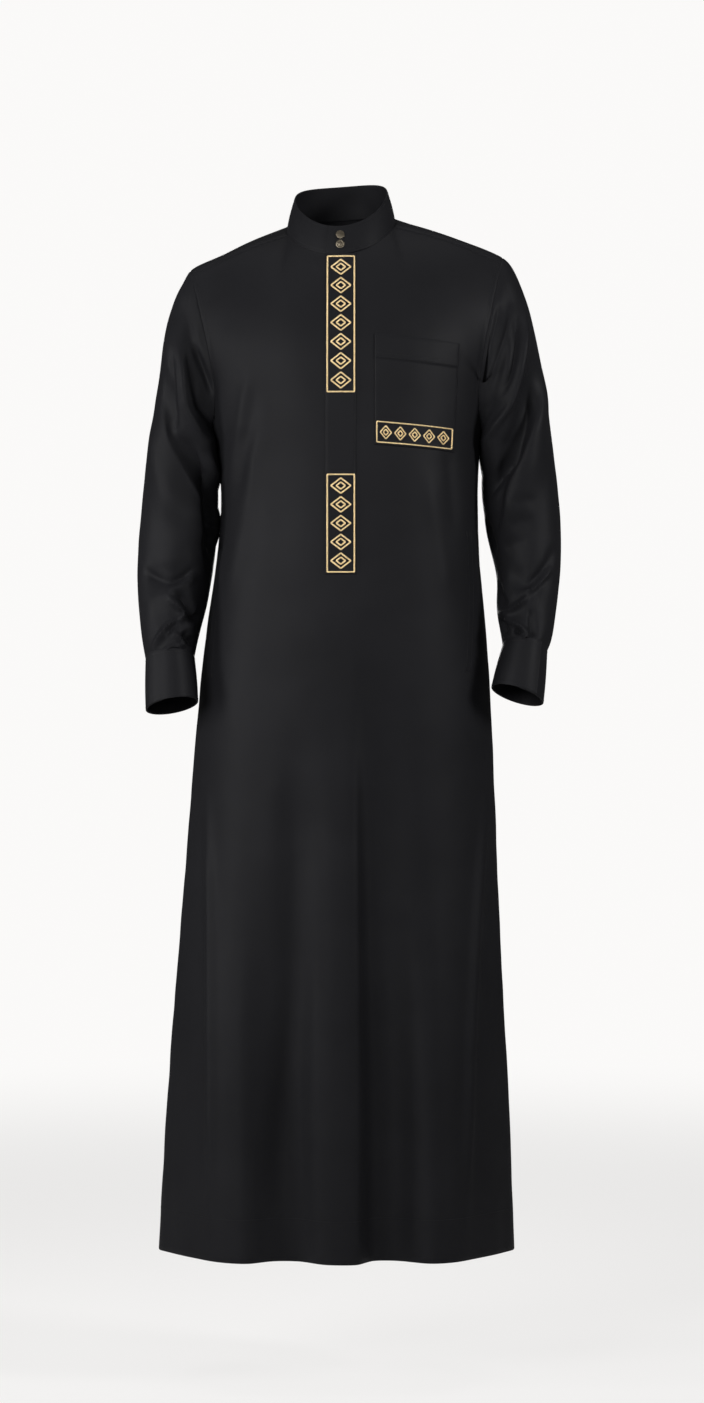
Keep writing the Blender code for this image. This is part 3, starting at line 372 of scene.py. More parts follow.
class OuterSheet:  # the outer face of a CAD wall, without its rim
    def __init__(self, name, rimEdge):
        self.mesh = bmesh.new()
        self.mesh.from_mesh(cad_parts[name].data)
        bmesh.ops.remove_doubles(self.mesh, verts=self.mesh.verts, dist=sameSpot)
        rim = [f for f in self.mesh.faces if min(e.calc_length() for e in f.edges) < rimEdge]
        bmesh.ops.delete(self.mesh, geom=rim, context="FACES")
        self.mesh.verts.index_update()
        left = [v for v in self.mesh.verts if v.link_faces]
        seen, best = set(), 0.0
        for start in left:
            if start in seen:
                continue
            group, edge = {start}, [start]
            while edge:
                near = [w for w in self.around(edge.pop()) if w not in group]
                group.update(near)
                edge.extend(near)
            seen |= group
            faces = {f for v in group for f in v.link_faces}
            outward = sum(f.calc_area() * f.normal.xy.dot(f.calc_center_median().xy) for f in faces)
            if outward > best:
                best, self.points = outward, group

    def around(self, point):
        return [e.other_vert(point) for e in point.link_edges if e.link_faces]

    def rim(self):
        return sorted((v for v in self.points if v.is_boundary), key=lambda v: v.index)

    def lowSide(self, count):  # the lower of the two long sides of a band
        loop = self.rim()[:1]
        while len(loop) < len(self.rim()):
            near = [e.other_vert(loop[-1]) for e in loop[-1].link_edges if e.is_boundary]
            loop.append(next(v for v in near if v not in loop))
        turn = []
        for i, v in enumerate(loop):
            before, after = v.co - loop[i - 1].co, loop[(i + 1) % len(loop)].co - v.co
            turn.append(before.angle(after))
        corners = sorted(np.argsort(turn)[-4:])
        sides = []
        for a, b in zip(corners, corners[1:] + corners[:1]):
            side = [loop[i % len(loop)] for i in range(a, b + 1 if b > a else b + len(loop) + 1)]
            if len(side) == count:
                sides.append(side)
        return min(sides, key=lambda side: sum(v.co.z for v in side))

    def inOrder(self, level):
        beside = {v: [w for w in self.around(v) if w in level] for v in level}
        ends = [v for v in sorted(level, key=lambda v: v.index) if len(beside[v]) == 1]
        row = [ends[0] if ends else min(level, key=lambda v: v.index)]
        while len(row) < len(level):
            row.append(next(w for w in beside[row[-1]] if w not in row))
        return np.array([v.co[:] for v in row]), not ends

    def grid(self, first):  # rows of points, from the first row on
        level, seen, rows = set(first), set(first), []
        while level:
            row, closed = self.inOrder(level)
            if rows:
                turned = [row, row[::-1]]
                if closed:
                    turned = [np.roll(r, k, axis=0) for r in turned for k in range(len(row))]
                row = min(turned, key=lambda r: np.linalg.norm(r - rows[-1], axis=1).sum())
            rows.append(row)
            level = {w for v in level for w in self.around(v)} - seen
            seen |= level
        self.mesh.free()
        return np.array(rows)


rimEdges = {"panel": 0.0016, "band": 0.0023}  # the shortest edge that isn't a wall's rim
neckRing = {"middleY": -0.010, "reach": 0.0765}  # takes in the yoke's rim at the collar
firstRows = {
    # node: what tells the points of its first row
    "front": lambda p: p.z < -1.40,  # the hem
    "back": lambda p: p.z < -1.40,
    "yoke": lambda p: math.hypot(p.x, p.y - neckRing["middleY"]) < neckRing["reach"],
    "sleeve_right": lambda p: p.z > -0.35,  # the armhole
    "sleeve_left": lambda p: p.z > -0.35,
}
bandColumns = {"collar": 53, "cuff_right": 31, "cuff_left": 31}
grids = {}
for name, isFirst in firstRows.items():
    sheet = OuterSheet(name, rimEdges["panel"])
    grids[name] = sheet.grid([v for v in sheet.rim() if isFirst(v.co)])
for name, count in bandColumns.items():
    sheet = OuterSheet(name, rimEdges["band"])
    grids[name] = sheet.grid(sheet.lowSide(count))
for name, grid in grids.items():
    print(name, grid.shape)

# The cloth: one skin over the five panels, creased, then parted at its seams
cloth = {
    "weld": 0.0006,  # bridges the CAD's seam gaps
    "skirtRows": 17,  # rows from the hem to the underarm
    # for the body and for the sleeves: how often a skirt row is parted, and how often a cell is halved
    "body": (3, 2),
    "sleeves": (1, 3),
    "thickness": 0.0011,
    "seamWidth": 0.0014,
    "seamDepth": 0.0007,
    "unevenness": 0.0007,
    "ripples": (14.0, 31.0, 0.5),  # the unevenness's two scales, and the finer one's share
    "armholeHold": 0.012,  # how far the armhole seams flatten the folds beside them
}
pieceNames = {"front": "front_panel", "back": "back_panel", "yoke": "yoke_panel",
              "sleeve_right": "right_sleeve", "sleeve_left": "left_sleeve"}
panelNames = list(pieceNames)
creasing = {
    "points": 7,  # to each span of a crease's line
    "reach": 3,  # how many times its softness a crease is felt
    "facing": (-0.02, 0.4),  # where round the side it begins, and over how much more turn it is whole
    "taper": 0.28,  # share of its length over which each end fades
}

# Creases in millimetres: how far out (or in), how soft to the picture's left and right of a line
# that runs down (below and above one that runs to the right), and the line's points (x, z)
frontCreases = [
    # right sleeve: the outer part ends in an edge over a deep fold
    (7.0, 14, 5, [(-243, -175), (-242, -227), (-238, -273), (-234, -301), (-225, -325), (-209, -361),
      (-202, -384), (-202, -409), (-194, -458), (-186, -489), (-182, -519)]),
    (-13.2, 5, 13, [(-228, -285), (-221, -313), (-206, -347), (-189, -372), (-187, -405), (-180, -442),
      (-178, -470)]),
    (-5.4, 4, 4, [(-231, -168), (-230, -212), (-228, -255), (-226, -295)]),
    (4.0, 4, 5, [(-223, -165), (-218, -199), (-214, -239), (-206, -285), (-198, -316)]),
    (-4.7, 5, 5, [(-203, -162), (-192, -193), (-180, -221), (-166, -252)]),
    (-3.1, 4, 5, [(-212, -165), (-206, -199), (-198, -239), (-185, -285)]),
    (6.2, 6, 5, [(-198, -313), (-192, -338), (-180, -359), (-168, -381)]),
    (4.7, 3.5, 3.5, [(-187, -419), (-180, -417), (-172, -422), (-166, -428)]),
    (-7.8, 5, 4, [(-186, -429), (-178, -432), (-172, -439), (-167, -452)]),
    # right sleeve, above the cuff
    (-5.0, 7, 5, [(-272, -470), (-254, -487), (-234, -494), (-220, -490), (-209, -482), (-198, -469)]),
    (4.5, 7, 5, [(-240, -502), (-225, -501), (-209, -490), (-197, -479)]),
    (7.2, 3.5, 4.5, [(-240, -504), (-231, -519), (-222, -527), (-214, -535), (-220, -545), (-232, -552),
      (-245, -567), (-260, -592)]),
    (-9.9, 6, 6, [(-232, -505), (-215, -516), (-202, -541), (-188, -533)]),
    (-6.3, 4, 4, [(-216, -542), (-225, -550), (-231, -556), (-240, -567)]),
    (5.4, 3.5, 3.5, [(-235, -561), (-225, -566), (-215, -578), (-228, -583), (-249, -593)]),
    (-9.0, 5, 6, [(-217, -562), (-207, -573), (-197, -575)]),
    (-4.5, 3.5, 3.5, [(-220, -582), (-231, -588), (-240, -595)]),
    # left sleeve: a long edge from the top to the cuff over a deep fold
    (7.0, 5, 13, [(267, -166), (270, -206), (270, -253), (259, -293), (249, -329), (236, -361),
      (229, -390), (221, -427), (212, -463)]),
    (-12.4, 13, 5, [(257, -202), (257, -256), (251, -293), (242, -325), (227, -347), (209, -370),
      (201, -392)]),
    (5.0, 5, 4, [(246, -97), (250, -151), (244, -202), (236, -237), (223, -271), (212, -305), (202, -343)]),
    (-7.0, 5, 5, [(240, -119), (238, -166), (231, -209), (216, -246)]),
    (3.6, 5, 5, [(232, -108), (228, -148), (216, -184), (206, -214), (200, -240)]),
    (-4.5, 5, 6, [(216, -108), (212, -140), (205, -168), (198, -192)]),
    (-1.6, 8, 8, [(232, -389), (250, -382), (270, -386)]),
    (-1.4, 9, 7, [(228, -418), (244, -410), (264, -413)]),
    (-1.4, 8, 8, [(222, -450), (240, -440), (256, -443)]),
    (-4.7, 5, 5, [(197, -401), (205, -430), (212, -459)]),
    # left sleeve, above the cuff
    (-4.2, 7, 6, [(293, -437), (283, -468), (265, -492), (249, -500), (234, -496)]),
    (5.8, 4, 4, [(289, -468), (274, -490), (257, -505), (240, -505)]),
    (5.8, 3.5, 3.5, [(253, -506), (252, -516), (240, -526), (227, -534), (211, -537)]),
    (-7.2, 5, 4, [(214, -488), (217, -510), (226, -528)]),
    (6.1, 3.5, 3.5, [(229, -534), (228, -546), (240, -553), (251, -563), (249, -572), (236, -570)]),
    (-6.5, 3.5, 4, [(234, -559), (242, -562), (244, -566)]),
    (-7.2, 4, 4, [(215, -542), (221, -555), (224, -568)]),
    (-5.4, 4, 5, [(257, -528), (259, -551), (262, -575)]),
    # the front's drape
    (2.6, 9, 7, [(-122, -190), (-126, -225), (-138, -288), (-151, -348), (-160, -385)]),
    (-2.0, 9, 9, [(-112, -215), (-121, -280), (-134, -345), (-147, -400)]),
    (2.2, 12, 9, [(-104, -270), (-119, -329), (-125, -376), (-138, -437), (-151, -492), (-160, -535)]),
    (1.8, 12, 12, [(118, -330), (126, -400), (138, -470), (150, -540)]),
    (-2.0, 9, 9, [(146, -300), (150, -370), (158, -440)]),
    (-1.3, 4, 4, [(-37, -58), (-30, -68), (-23, -78)]),
    # the skirt: broad soft ridges and troughs, and the crisp crease beside the middle
    (5.5, 6, 7, [(-187, -745), (-181, -850), (-178, -1000), (-177, -1200), (-176, -1405)]),
    (-11.0, 24, 30, [(-66, -660), (-62, -800), (-60, -930), (-62, -1068), (-74, -1206), (-84, -1344),
      (-86, -1430)]),
    (4.5, 70, 55, [(8, -330), (6, -480), (2, -620), (-4, -800), (-8, -930), (-14, -1200), (-16, -1425)]),
    (-7.0, 18, 44, [(40, -560), (40, -800), (46, -1000), (54, -1200), (58, -1430)]),
    (-1.4, 6, 9, [(26, -520), (28, -700), (30, -900), (34, -1150), (39, -1405)]),
    (2.0, 20, 20, [(128, -860), (124, -1000), (120, -1200), (118, -1405)]),
    (5.0, 7, 6, [(204, -740), (190, -900), (180, -1068), (175, -1206), (171, -1344), (169, -1405)]),
]
backCreases = [
    (-3.0, 10, 10, [(-60, -150), (-95, -230), (-128, -320), (-150, -420)]),
    (2.4, 10, 10, [(-88, -170), (-120, -260), (-146, -350)]),
    (-3.0, 10, 10, [(66, -150), (98, -235), (132, -330), (156, -430)]),
    (2.4, 10, 10, [(92, -165), (124, -255), (150, -350)]),
    (-2.5, 12, 12, [(0, -230), (-6, -330), (-4, -440)]),
    (-4.0, 6, 8, [(-224, -150), (-222, -220), (-204, -290), (-176, -340)]),
    (3.0, 6, 6, [(-240, -170), (-240, -250), (-222, -320), (-192, -385)]),
    (-4.0, 7, 7, [(-262, -380), (-238, -408), (-206, -412), (-182, -400)]),
    (3.0, 5, 6, [(-266, -405), (-240, -432), (-206, -434), (-186, -424)]),
    (-4.0, 6, 6, [(-268, -470), (-244, -492), (-214, -486), (-200, -474)]),
    (3.0, 4, 5, [(-262, -500), (-240, -520), (-214, -514)]),
    (-4.0, 5, 5, [(-262, -540), (-240, -556), (-214, -548)]),
    (-4.0, 6, 8, [(236, -140), (236, -215), (216, -285), (192, -335)]),
    (3.0, 6, 6, [(252, -165), (252, -245), (236, -320), (208, -380)]),
    (-4.0, 7, 7, [(284, -375), (258, -404), (226, -410), (204, -398)]),
    (3.0, 5, 6, [(288, -400), (260, -430), (226, -434)]),
    (-4.0, 6, 6, [(290, -462), (266, -486), (236, -482), (222, -470)]),
    (3.0, 4, 5, [(282, -494), (258, -514), (232, -508)]),
    (-4.0, 5, 5, [(278, -535), (256, -552), (230, -545)]),
]
# Rounder places that the creases leave: middle, reach, and how far out in millimetres
swells = [
    ((0.165, -0.01, -0.040), (0.085, 0.09, 0.050), 4.5),
    ((0.262, -0.01, -0.140), (0.050, 0.12, 0.120), 4.0),
    ((-0.236, -0.01, -0.110), (0.040, 0.12, 0.080), 3.5),
    ((0.290, -0.01, -0.360), (0.040, 0.12, 0.130), 4.0),
    ((-0.266, -0.01, -0.350), (0.040, 0.12, 0.130), 2.0),
]


def splitRows(grid, upTo, times):
    part = grid[: upTo + 1]
    slope = np.gradient(part, axis=0)
    rows = [between(part[r], part[r + 1], slope[r], slope[r + 1], t)
            for r in range(upTo) for t in np.arange(times) / times]
    return np.concatenate([np.array(rows), grid[upTo:]])


def laidFlat(grid):  # metres along the rows and up the columns
    along = np.cumsum(np.linalg.norm(np.diff(grid, axis=1, prepend=grid[:, :1]), axis=2), axis=1)
    up = np.cumsum(np.linalg.norm(np.diff(grid, axis=0, prepend=grid[:1]), axis=2), axis=0)
    return np.stack([along - along[:, along.shape[1] // 2][:, None], up], axis=2)


def addGrid(mesh, uvs, grid, closed, materialIndex, centre=(0.0, 0.0)):
    rows, columns = grid.shape[:2]
    wrapped = np.concatenate([grid, grid[:, :1]], axis=1) if closed else grid
    flat = laidFlat(wrapped)
    corner = wrapped[:-1, :-1], wrapped[:-1, 1:], wrapped[1:, 1:], wrapped[1:, :-1]
    normal = np.cross(corner[2] - corner[0], corner[3] - corner[1])
    middle = sum(corner) / 4
    outward = (normal[..., :2] * (middle[..., :2] - np.array(centre))).sum() > 0
    points = [[mesh.verts.new(p) for p in row] for row in grid]
    for r in range(rows - 1):
        for c in range(wrapped.shape[1] - 1):
            places = [(r, c), (r, c + 1), (r + 1, c + 1), (r + 1, c)]
            places = places if outward else places[::-1]
            face = mesh.faces.new([points[i][j % columns] for i, j in places])
            face.material_index = materialIndex
            face.smooth = True
            for loop, (i, j) in zip(face.loops, places):
                loop[uvs].uv = flat[i, j]


def creasePush(places, normals, creases, side):
    push = np.zeros(len(places))
    start, spread = creasing["facing"]
    facing = ease((normals[:, 1] * side - start) / spread)
    for depth, softLeft, softRight, line in creases:
        line = throughPoints(np.array(line) / 1000, creasing["points"] * (len(line) - 1) + 1)
        reach = creasing["reach"] * max(softLeft, softRight) / 1000
        low, high = line.min(axis=0) - reach, line.max(axis=0) + reach
        flat = places[:, [0, 2]]
        near = np.flatnonzero((facing > 0) & (flat > low).all(axis=1) & (flat < high).all(axis=1))
        spots = flat[near]
        best = np.full(len(near), np.inf)
        signed, along = np.zeros(len(near)), np.zeros(len(near))
        steps = np.linalg.norm(np.diff(line, axis=0), axis=1)
        done = np.concatenate([[0], np.cumsum(steps)])
        for i, step in enumerate(steps):
            way = (line[i + 1] - line[i]) / step
            off = spots - line[i]
            t = np.clip(off @ way, 0, step)
            gap = np.linalg.norm(off - t[:, None] * way, axis=1)
            closer = gap < best
            best = np.where(closer, gap, best)
            signed = np.where(closer, np.sign(off[:, 0] * way[1] - off[:, 1] * way[0]), signed)
            along = np.where(closer, (done[i] + t) / done[-1], along)
        soft = np.where(signed < 0, softRight, softLeft) / 1000
        taper = ease(np.minimum(along, 1 - along) / creasing["taper"])
        push[near] += depth / 1000 * np.exp(-((best / soft) ** 2)) * facing[near] * taper
    return push


def panelCorners(mesh):  # which panel each face is of, and its corners
    panelOf = np.zeros(len(mesh.polygons), int)
    mesh.polygons.foreach_get("material_index", panelOf)
    return panelOf, np.array([p.vertices[:] for p in mesh.polygons])


def armholeGap(mesh, places):  # each point's distance from the armholes' seams
    panelOf, corners = panelCorners(mesh)
    rim = np.intersect1d(corners[panelOf > 2], corners[panelOf < 3])
    tree = KDTree(len(rim))
    for i in rim:
        tree.insert(places[i], int(i))
    tree.balance()
    return np.array([tree.find(p)[2] for p in places])


def makeSkin(skirtSplit, fineness, bodyTree=None):
    skin = bmesh.new()
    uvs = skin.loops.layers.uv.new("cloth")
    for index, name in enumerate(panelNames):
        isSleeve = name.startswith("sleeve")
        grid = grids[name]
        if name in ("front", "back"):
            grid = splitRows(grid, cloth["skirtRows"], skirtSplit)
        addGrid(skin, uvs, grid, isSleeve, index)
    bmesh.ops.remove_doubles(skin, verts=skin.verts, dist=cloth["weld"])
    print("skin:", len(skin.verts), "points,", sum(e.is_boundary for e in skin.edges), "open edges,",
          sum(len(e.link_faces) > 2 for e in skin.edges), "edges shared by three faces")
    piece = pieceFrom("skin", skin)
    mesh = piece.data
    # Halving rounds the cloth inwards, so its points first go out as far as that takes them in
    wanted = placesOf(mesh)
    piece.modifiers.new("rounded", "SUBSURF").levels = fineness
    for again in range(3):
        rounded = piece.evaluated_get(bpy.context.evaluated_depsgraph_get()).to_mesh()
        miss = wanted - placesOf(rounded)[: len(wanted)]
        mesh.vertices.foreach_set("co", (placesOf(mesh) + miss).ravel())
        mesh.update()
    print("left to round off, at most", round(float(np.linalg.norm(miss, axis=1).max()) * 1000, 2), "mm")
    piece.modifiers.clear()
    finishWith(piece, "SUBSURF", levels=fineness, render_levels=fineness)
    places, normals = placesOf(mesh), placesOf(mesh, "vertex_normals", "vector")
    push = creasePush(places, normals, frontCreases, -1) + creasePush(places, normals, backCreases, 1)
    push *= ease(armholeGap(mesh, places) / cloth["armholeHold"])
    broad, fine, share = cloth["ripples"]
    ripple = [noise.noise(Vector(p) * broad) + share * noise.noise(Vector(p) * fine) for p in places]
    push += np.array(ripple) * cloth["unevenness"]
    for middle, reach, out in swells:
        off = (places - np.array(middle)) / np.array(reach)
        push += out / 1000 * np.exp(-(off**2).sum(axis=1))
    places = places + normals * push[:, None]
    if bodyTree:
        places = leanSleeves(mesh, places, bodyTree)
    mesh.vertices.foreach_set("co", places.ravel())
    mesh.update()
    return piece


# How far the sleeves' inner sides lean on the panels beside them: heights, and millimetres there
sleeveLean = {
    -1: ((-620, -470, -442, -425, -405, -388, -365, -345, -300, -275, -255),
         (0, 0, 1, 6, 8, 5, 9, 18, 20, 10, 0)),
    1: ((-620, -400, -375, -345, -320, -300, -275, -255), (0, 0, 3, 4, 12, 16, 10, 0)),
    "clear": 0.0005,
    "levels": (-0.64, -0.10, 0.006),  # where a sleeve's inner and outer sides are read
    "halfLevel": 0.014,  # how near a level a point has to be to count
    "noSleeve": (0.2, 0.3),  # the sides where no point does
    "inwards": (1.7, 0.55),  # slope and start of the share that each point takes, all on the inner side
    "least": (1e-5, 1e-4),  # a reach and a share too small to matter
}


def leanSleeves(mesh, places, body):
    panelOf, corners = panelCorners(mesh)
    seam = np.zeros(len(places), bool)
    seam[corners[panelOf < 3].ravel()] = True
    (slope, start), (leastReach, leastShare) = sleeveLean["inwards"], sleeveLean["least"]
    levels = np.arange(*sleeveLean["levels"])
    out = places.copy()
    for side, index in ((-1, panelNames.index("sleeve_right")), (1, panelNames.index("sleeve_left"))):
        own = np.setdiff1d(np.unique(corners[panelOf == index]), np.flatnonzero(seam))
        aside, heights = np.abs(places[own, 0]), places[own, 2]
        reaches = np.interp(heights * 1000, *sleeveLean[side]) / 1000
        spans = [aside[np.abs(heights - level) < sleeveLean["halfLevel"]] for level in levels]
        spans = [(s.min(), s.max()) if len(s) else sleeveLean["noSleeve"] for s in spans]
        inner, outer = [np.interp(heights, levels, edge) for edge in zip(*spans)]
        shares = ease((outer - aside) / (outer - inner) * slope - start)
        for i, reach, share in zip(own, reaches, shares):
            if reach < leastReach or share < leastShare:
                continue
            distance = body.ray_cast(Vector(places[i]), Vector((-side, 0, 0)))[3]
            room = reach if distance is None else max(0.0, distance - sleeveLean["clear"])
            out[i, 0] -= side * min(reach * share, room)
    return out


def spotOf(point):
    return tuple(round(c, 6) for c in point)


def partPanel(skin, index, node):
    normals = placesOf(skin.data, "vertex_normals", "vector")
    normalAt = {spotOf(v.co): Vector(n) for v, n in zip(skin.data.vertices, normals)}
    panel = bmesh.new()
    panel.from_mesh(skin.data)
    others = [f for f in panel.faces if f.material_index != index]
    bmesh.ops.delete(panel, geom=others, context="FACES")
    bmesh.ops.inset_region(panel, faces=panel.faces, thickness=cloth["seamWidth"], use_boundary=True,
                           use_even_offset=True, use_interpolate=True)
    for v in panel.verts:
        if v.is_boundary:
            v.co -= normalAt[spotOf(v.co)] * cloth["seamDepth"]
    for f in panel.faces:
        f.material_index = 0
        f.smooth = True
    piece = pieceFrom(pieceNames[node], panel, suiting)
    return finishSheet(piece, node, cloth["thickness"], 42, use_even_offset=False)


bodySkin = makeSkin(*cloth["body"])
bodyTree = treeOf(bodySkin.data, [f for f in bodySkin.data.polygons if f.material_index < 2])
sleeveSkin = makeSkin(*cloth["sleeves"], bodyTree)
panels, panelTrees = {}, {}
for index, node in enumerate(panelNames):
    skin = sleeveSkin if node.startswith("sleeve") else bodySkin
    panels[node], panelTrees[node] = partPanel(skin, index, node)
bpy.data.objects.remove(bodySkin)
bpy.data.objects.remove(sleeveSkin)
print("panels parted")

# Collar and cuffs: firm bands, lapped at their ends
bands = {
    # node: piece, which row meets the cloth, how far it tucks in there, how far it stands out, thickness
    "collar": ("stand_collar", 0, 0.0016, 0.0, 0.0020),
    "cuff_right": ("right_cuff", -1, 0.0022, 0.0006, 0.0020),
    "cuff_left": ("left_cuff", -1, 0.0022, 0.0006, 0.0020),
}
bandEdge = {"round": 0.0005, "fineness": 3}


def makeBand(node):
    name, seamRow, tuck, out, thickness = bands[node]
    grid = grids[node].copy()
    way = grid[seamRow] - grid[1 if seamRow == 0 else -2]
    way /= np.linalg.norm(way, axis=1, keepdims=True)
    centre = grid.reshape(-1, 3).mean(axis=0)
    aside = (grid[seamRow] - centre) * np.array([1.0, 1.0, 0.0])  # level, away from the middle
    aside /= np.linalg.norm(aside, axis=1, keepdims=True)
    grid[seamRow] += way * tuck + aside * out
    band = bmesh.new()
    uvs = band.loops.layers.uv.new("cloth")
    addGrid(band, uvs, grid, False, 0, centre[:2])
    piece = pieceFrom(name, band, suiting)
    finishWith(piece, "SUBSURF", levels=bandEdge["fineness"], render_levels=bandEdge["fineness"],
               boundary_smooth="PRESERVE_CORNERS")
    return finishSheet(piece, node, thickness, 40, bandEdge["round"])


bandTrees = {}
for node in bands:
    panels[node], bandTrees[node] = makeBand(node)

# Placket and pocket, laid on the finished front
placketLook = {
    "halfWidth": 0.0207,
    "endZ": -0.4860,
    "topZ": -0.0500,
    "step": 0.004,
    "rise": ((0.0, 0.0004, 0.0014), (0.0003, 0.0011, 0.0015)),  # by the distance from its edge
}
pocketLook = {
    "innerX": (0.0455, 0.0455),  # top, bottom
    "outerX": (0.1600, 0.1530),
    "innerZ": (-0.1620, -0.3120),
    "outerZ": (-0.1720, -0.3190),
    "band": 0.033,  # depth of the turned-down top
    "step": 0.0035,
    "rise": ((0.0, 0.0004, 0.0014), (0.0003, 0.0012, 0.0016)),
    "bandRise": 0.0006,
}
patchThickness = 0.00022
frontTrees = [panelTrees["front"]]


def fromFront(tree, x, z):  # where a line from the front meets the tree's cloth
    return tree.ray_cast(Vector((x, -1.0, z)), Vector((0, 1, 0)))


def onFront(x, z):  # the foremost cloth at x and z, and which way it faces
    best = None
    for tree in frontTrees:
        spot, normal, index, distance = fromFront(tree, x, z)
        if spot is not None and (best is None or spot.y < best[0].y):
            best = spot, normal
    return best


def marks(start, stop, step, edge):  # even places with a few close ones at the edges
    inner = np.linspace(start + edge[-1], stop - edge[-1], max(2, round((stop - start) / step)))
    return np.concatenate([start + np.array(edge[:-1]), inner, stop - np.array(edge[-2::-1])])


def makePatch(name, node, across, down, place, rise):
    grid = []
    for t in down:
        places = [onFront(*place(s, t)) for s in across]
        grid.append([(spot + normal * rise(s, t))[:] for s, (spot, normal) in zip(across, places)])
    patch = bmesh.new()
    uvs = patch.loops.layers.uv.new("cloth")
    addGrid(patch, uvs, np.array(grid), False, 0)
    return finishSheet(pieceFrom(name, patch, suiting), node, patchThickness, 70)


def makePlacket():
    look = placketLook
    edge, height = look["rise"]
    half, low, high = look["halfWidth"], look["endZ"], look["topZ"]
    across = marks(-half, half, look["step"], edge)
    up = [z for z in marks(low, high, look["step"], edge) if z < high - edge[-1] / 2] + [high]
    return makePatch("placket_strip", "placket", across, up, lambda s, t: (s, t),
                     lambda s, t: np.interp(min(half - abs(s), t - low), edge, height))


def pocketSize():
    look = pocketLook
    return look["outerX"][0] - look["innerX"][0], look["innerZ"][0] - look["innerZ"][1]


def pocketPlace(s, t):  # metres from the inner edge and below the top, to x and z
    look = pocketLook
    wide, tall = pocketSize()
    down, share = t / tall, s / wide
    inner = np.array([np.interp(down, (0, 1), look[k]) for k in ("innerX", "innerZ")])
    outer = np.array([np.interp(down, (0, 1), look[k]) for k in ("outerX", "outerZ")])
    return inner + (outer - inner) * share


def makePocket():
    look = pocketLook
    (edge, height), fold = look["rise"], look["band"]
    wide, tall = pocketSize()
    across, down = marks(0, wide, look["step"], edge), marks(0, tall, look["step"], edge)
    down = sorted([t for t in down if abs(t - fold) > 0.002] + [fold + k for k in (-0.0006, 0.0, 0.0006)])

    def rise(s, t):
        plain = np.interp(min(s, wide - s, tall - t, t + 0.0004), edge, height)
        stepped = float(ease((fold + 0.0004 - t) / 0.0008)) * (plain > height[0])
        return plain + look["bandRise"] * stepped

    return makePatch("chest_pocket", "pocket", across, down, pocketPlace, rise)


panels["placket"], placketTree = makePlacket()
panels["pocket"], pocketTree = makePocket()
frontTrees += [placketTree, pocketTree]

# Gold embroidery: satin-stitched cords, chains of nested lozenges within plain borders
chain = {  # in millimetres, but for the cords in metres
    "width": {"placket": 0.0022, "pocket": 0.0019},
    "height": 0.0008,
    "chamfer": 0.0008,
    "piece": 0.003,  # longest straight piece
    "cutShare": 0.45,  # the most of a side that a corner's chamfer takes
    "miter": 0.6,  # least cosine by which a cord is widened at a corner
    "outer": 18.2,  # the border's distance from the placket's middle
    "bands": ((-53.5, -241.0), (-352.0, -482.8)),  # the placket's two borders, top and end
    "pocketBand": ((3.0, 118.5), (111.0, 146.0)),  # from the pocket's inner edge and below its top
    "clear": 4.8,  # between a border and the lozenges
    "pitch": {"placket": 25.0, "pocket": 20.5},
    "apart": 4.6,  # between two lozenges' tips
    "inner": 0.46,  # an inner lozenge's share of its outer one
}
cordProfile = [(-1.0, -0.15), (-0.88, 0.5), (-0.5, 0.88), (0.0, 1.0), (0.5, 0.88), (0.88, 0.5), (1.0, -0.15)]


def softCorners(path, cut):
    path = [path[0]] + [b for a, b in zip(path[:-1], path[1:]) if np.linalg.norm(b - a) > 1e-5]
    out = [path[0]]
    for before, at, after in zip(path[:-2], path[1:-1], path[2:]):
        for other in (before, after):
            way = other - at
            out.append(at + unit(way) * min(cut, np.linalg.norm(way) * chain["cutShare"]))
    return out + [path[-1]]


def addCord(points, faces, uvs, path, place, width):
    path = softCorners([np.array(p, float) / 1000 for p in path], chain["chamfer"])
    line = [path[0]]
    for a, b in zip(path[:-1], path[1:]):
        count = max(1, math.ceil(np.linalg.norm(b - a) / chain["piece"]))
        line += [a + (b - a) * k / count for k in range(1, count + 1)]
    line = np.array(line)
    ways = np.diff(line, axis=0)
    ways /= np.linalg.norm(ways, axis=1, keepdims=True)
    before, after = np.concatenate([ways[:1], ways]), np.concatenate([ways, ways[-1:]])
    middle = before + after
    middle /= np.linalg.norm(middle, axis=1, keepdims=True)
    wider = 1 / np.maximum((middle * after).sum(axis=1), chain["miter"])
    length = np.concatenate([[0], np.cumsum(np.linalg.norm(np.diff(line, axis=0), axis=1))])
    size, start = len(cordProfile), len(points)
    spread = []
    for spot, way, scale, along in zip(line, middle, wider, length):
        for across, up in cordProfile:
            flat = spot + np.array([-way[1], way[0]]) * across * scale * width / 2
            point, normal = onFront(*place(*flat))
            points.append(point + normal * (up * chain["height"]))
            spread.append((along, across * width / 2))
    for i in range(len(line) - 1):
        for k in range(size):
            a, b = i * size + k, i * size + (k + 1) % size
            ring = [a, b, b + size, a + size]
            faces.append([start + j for j in ring])
            uvs.append([spread[j] for j in ring])
    for ring in (list(range(size))[::-1], [(len(line) - 1) * size + k for k in range(size)]):
        faces.append([start + j for j in ring])
        uvs.append([spread[j] for j in ring])


def ringOf(corners):  # starts and ends in the middle of a side
    first = tuple((a + b) / 2 for a, b in zip(corners[-1], corners[0]))
    return [first] + list(corners) + [first]


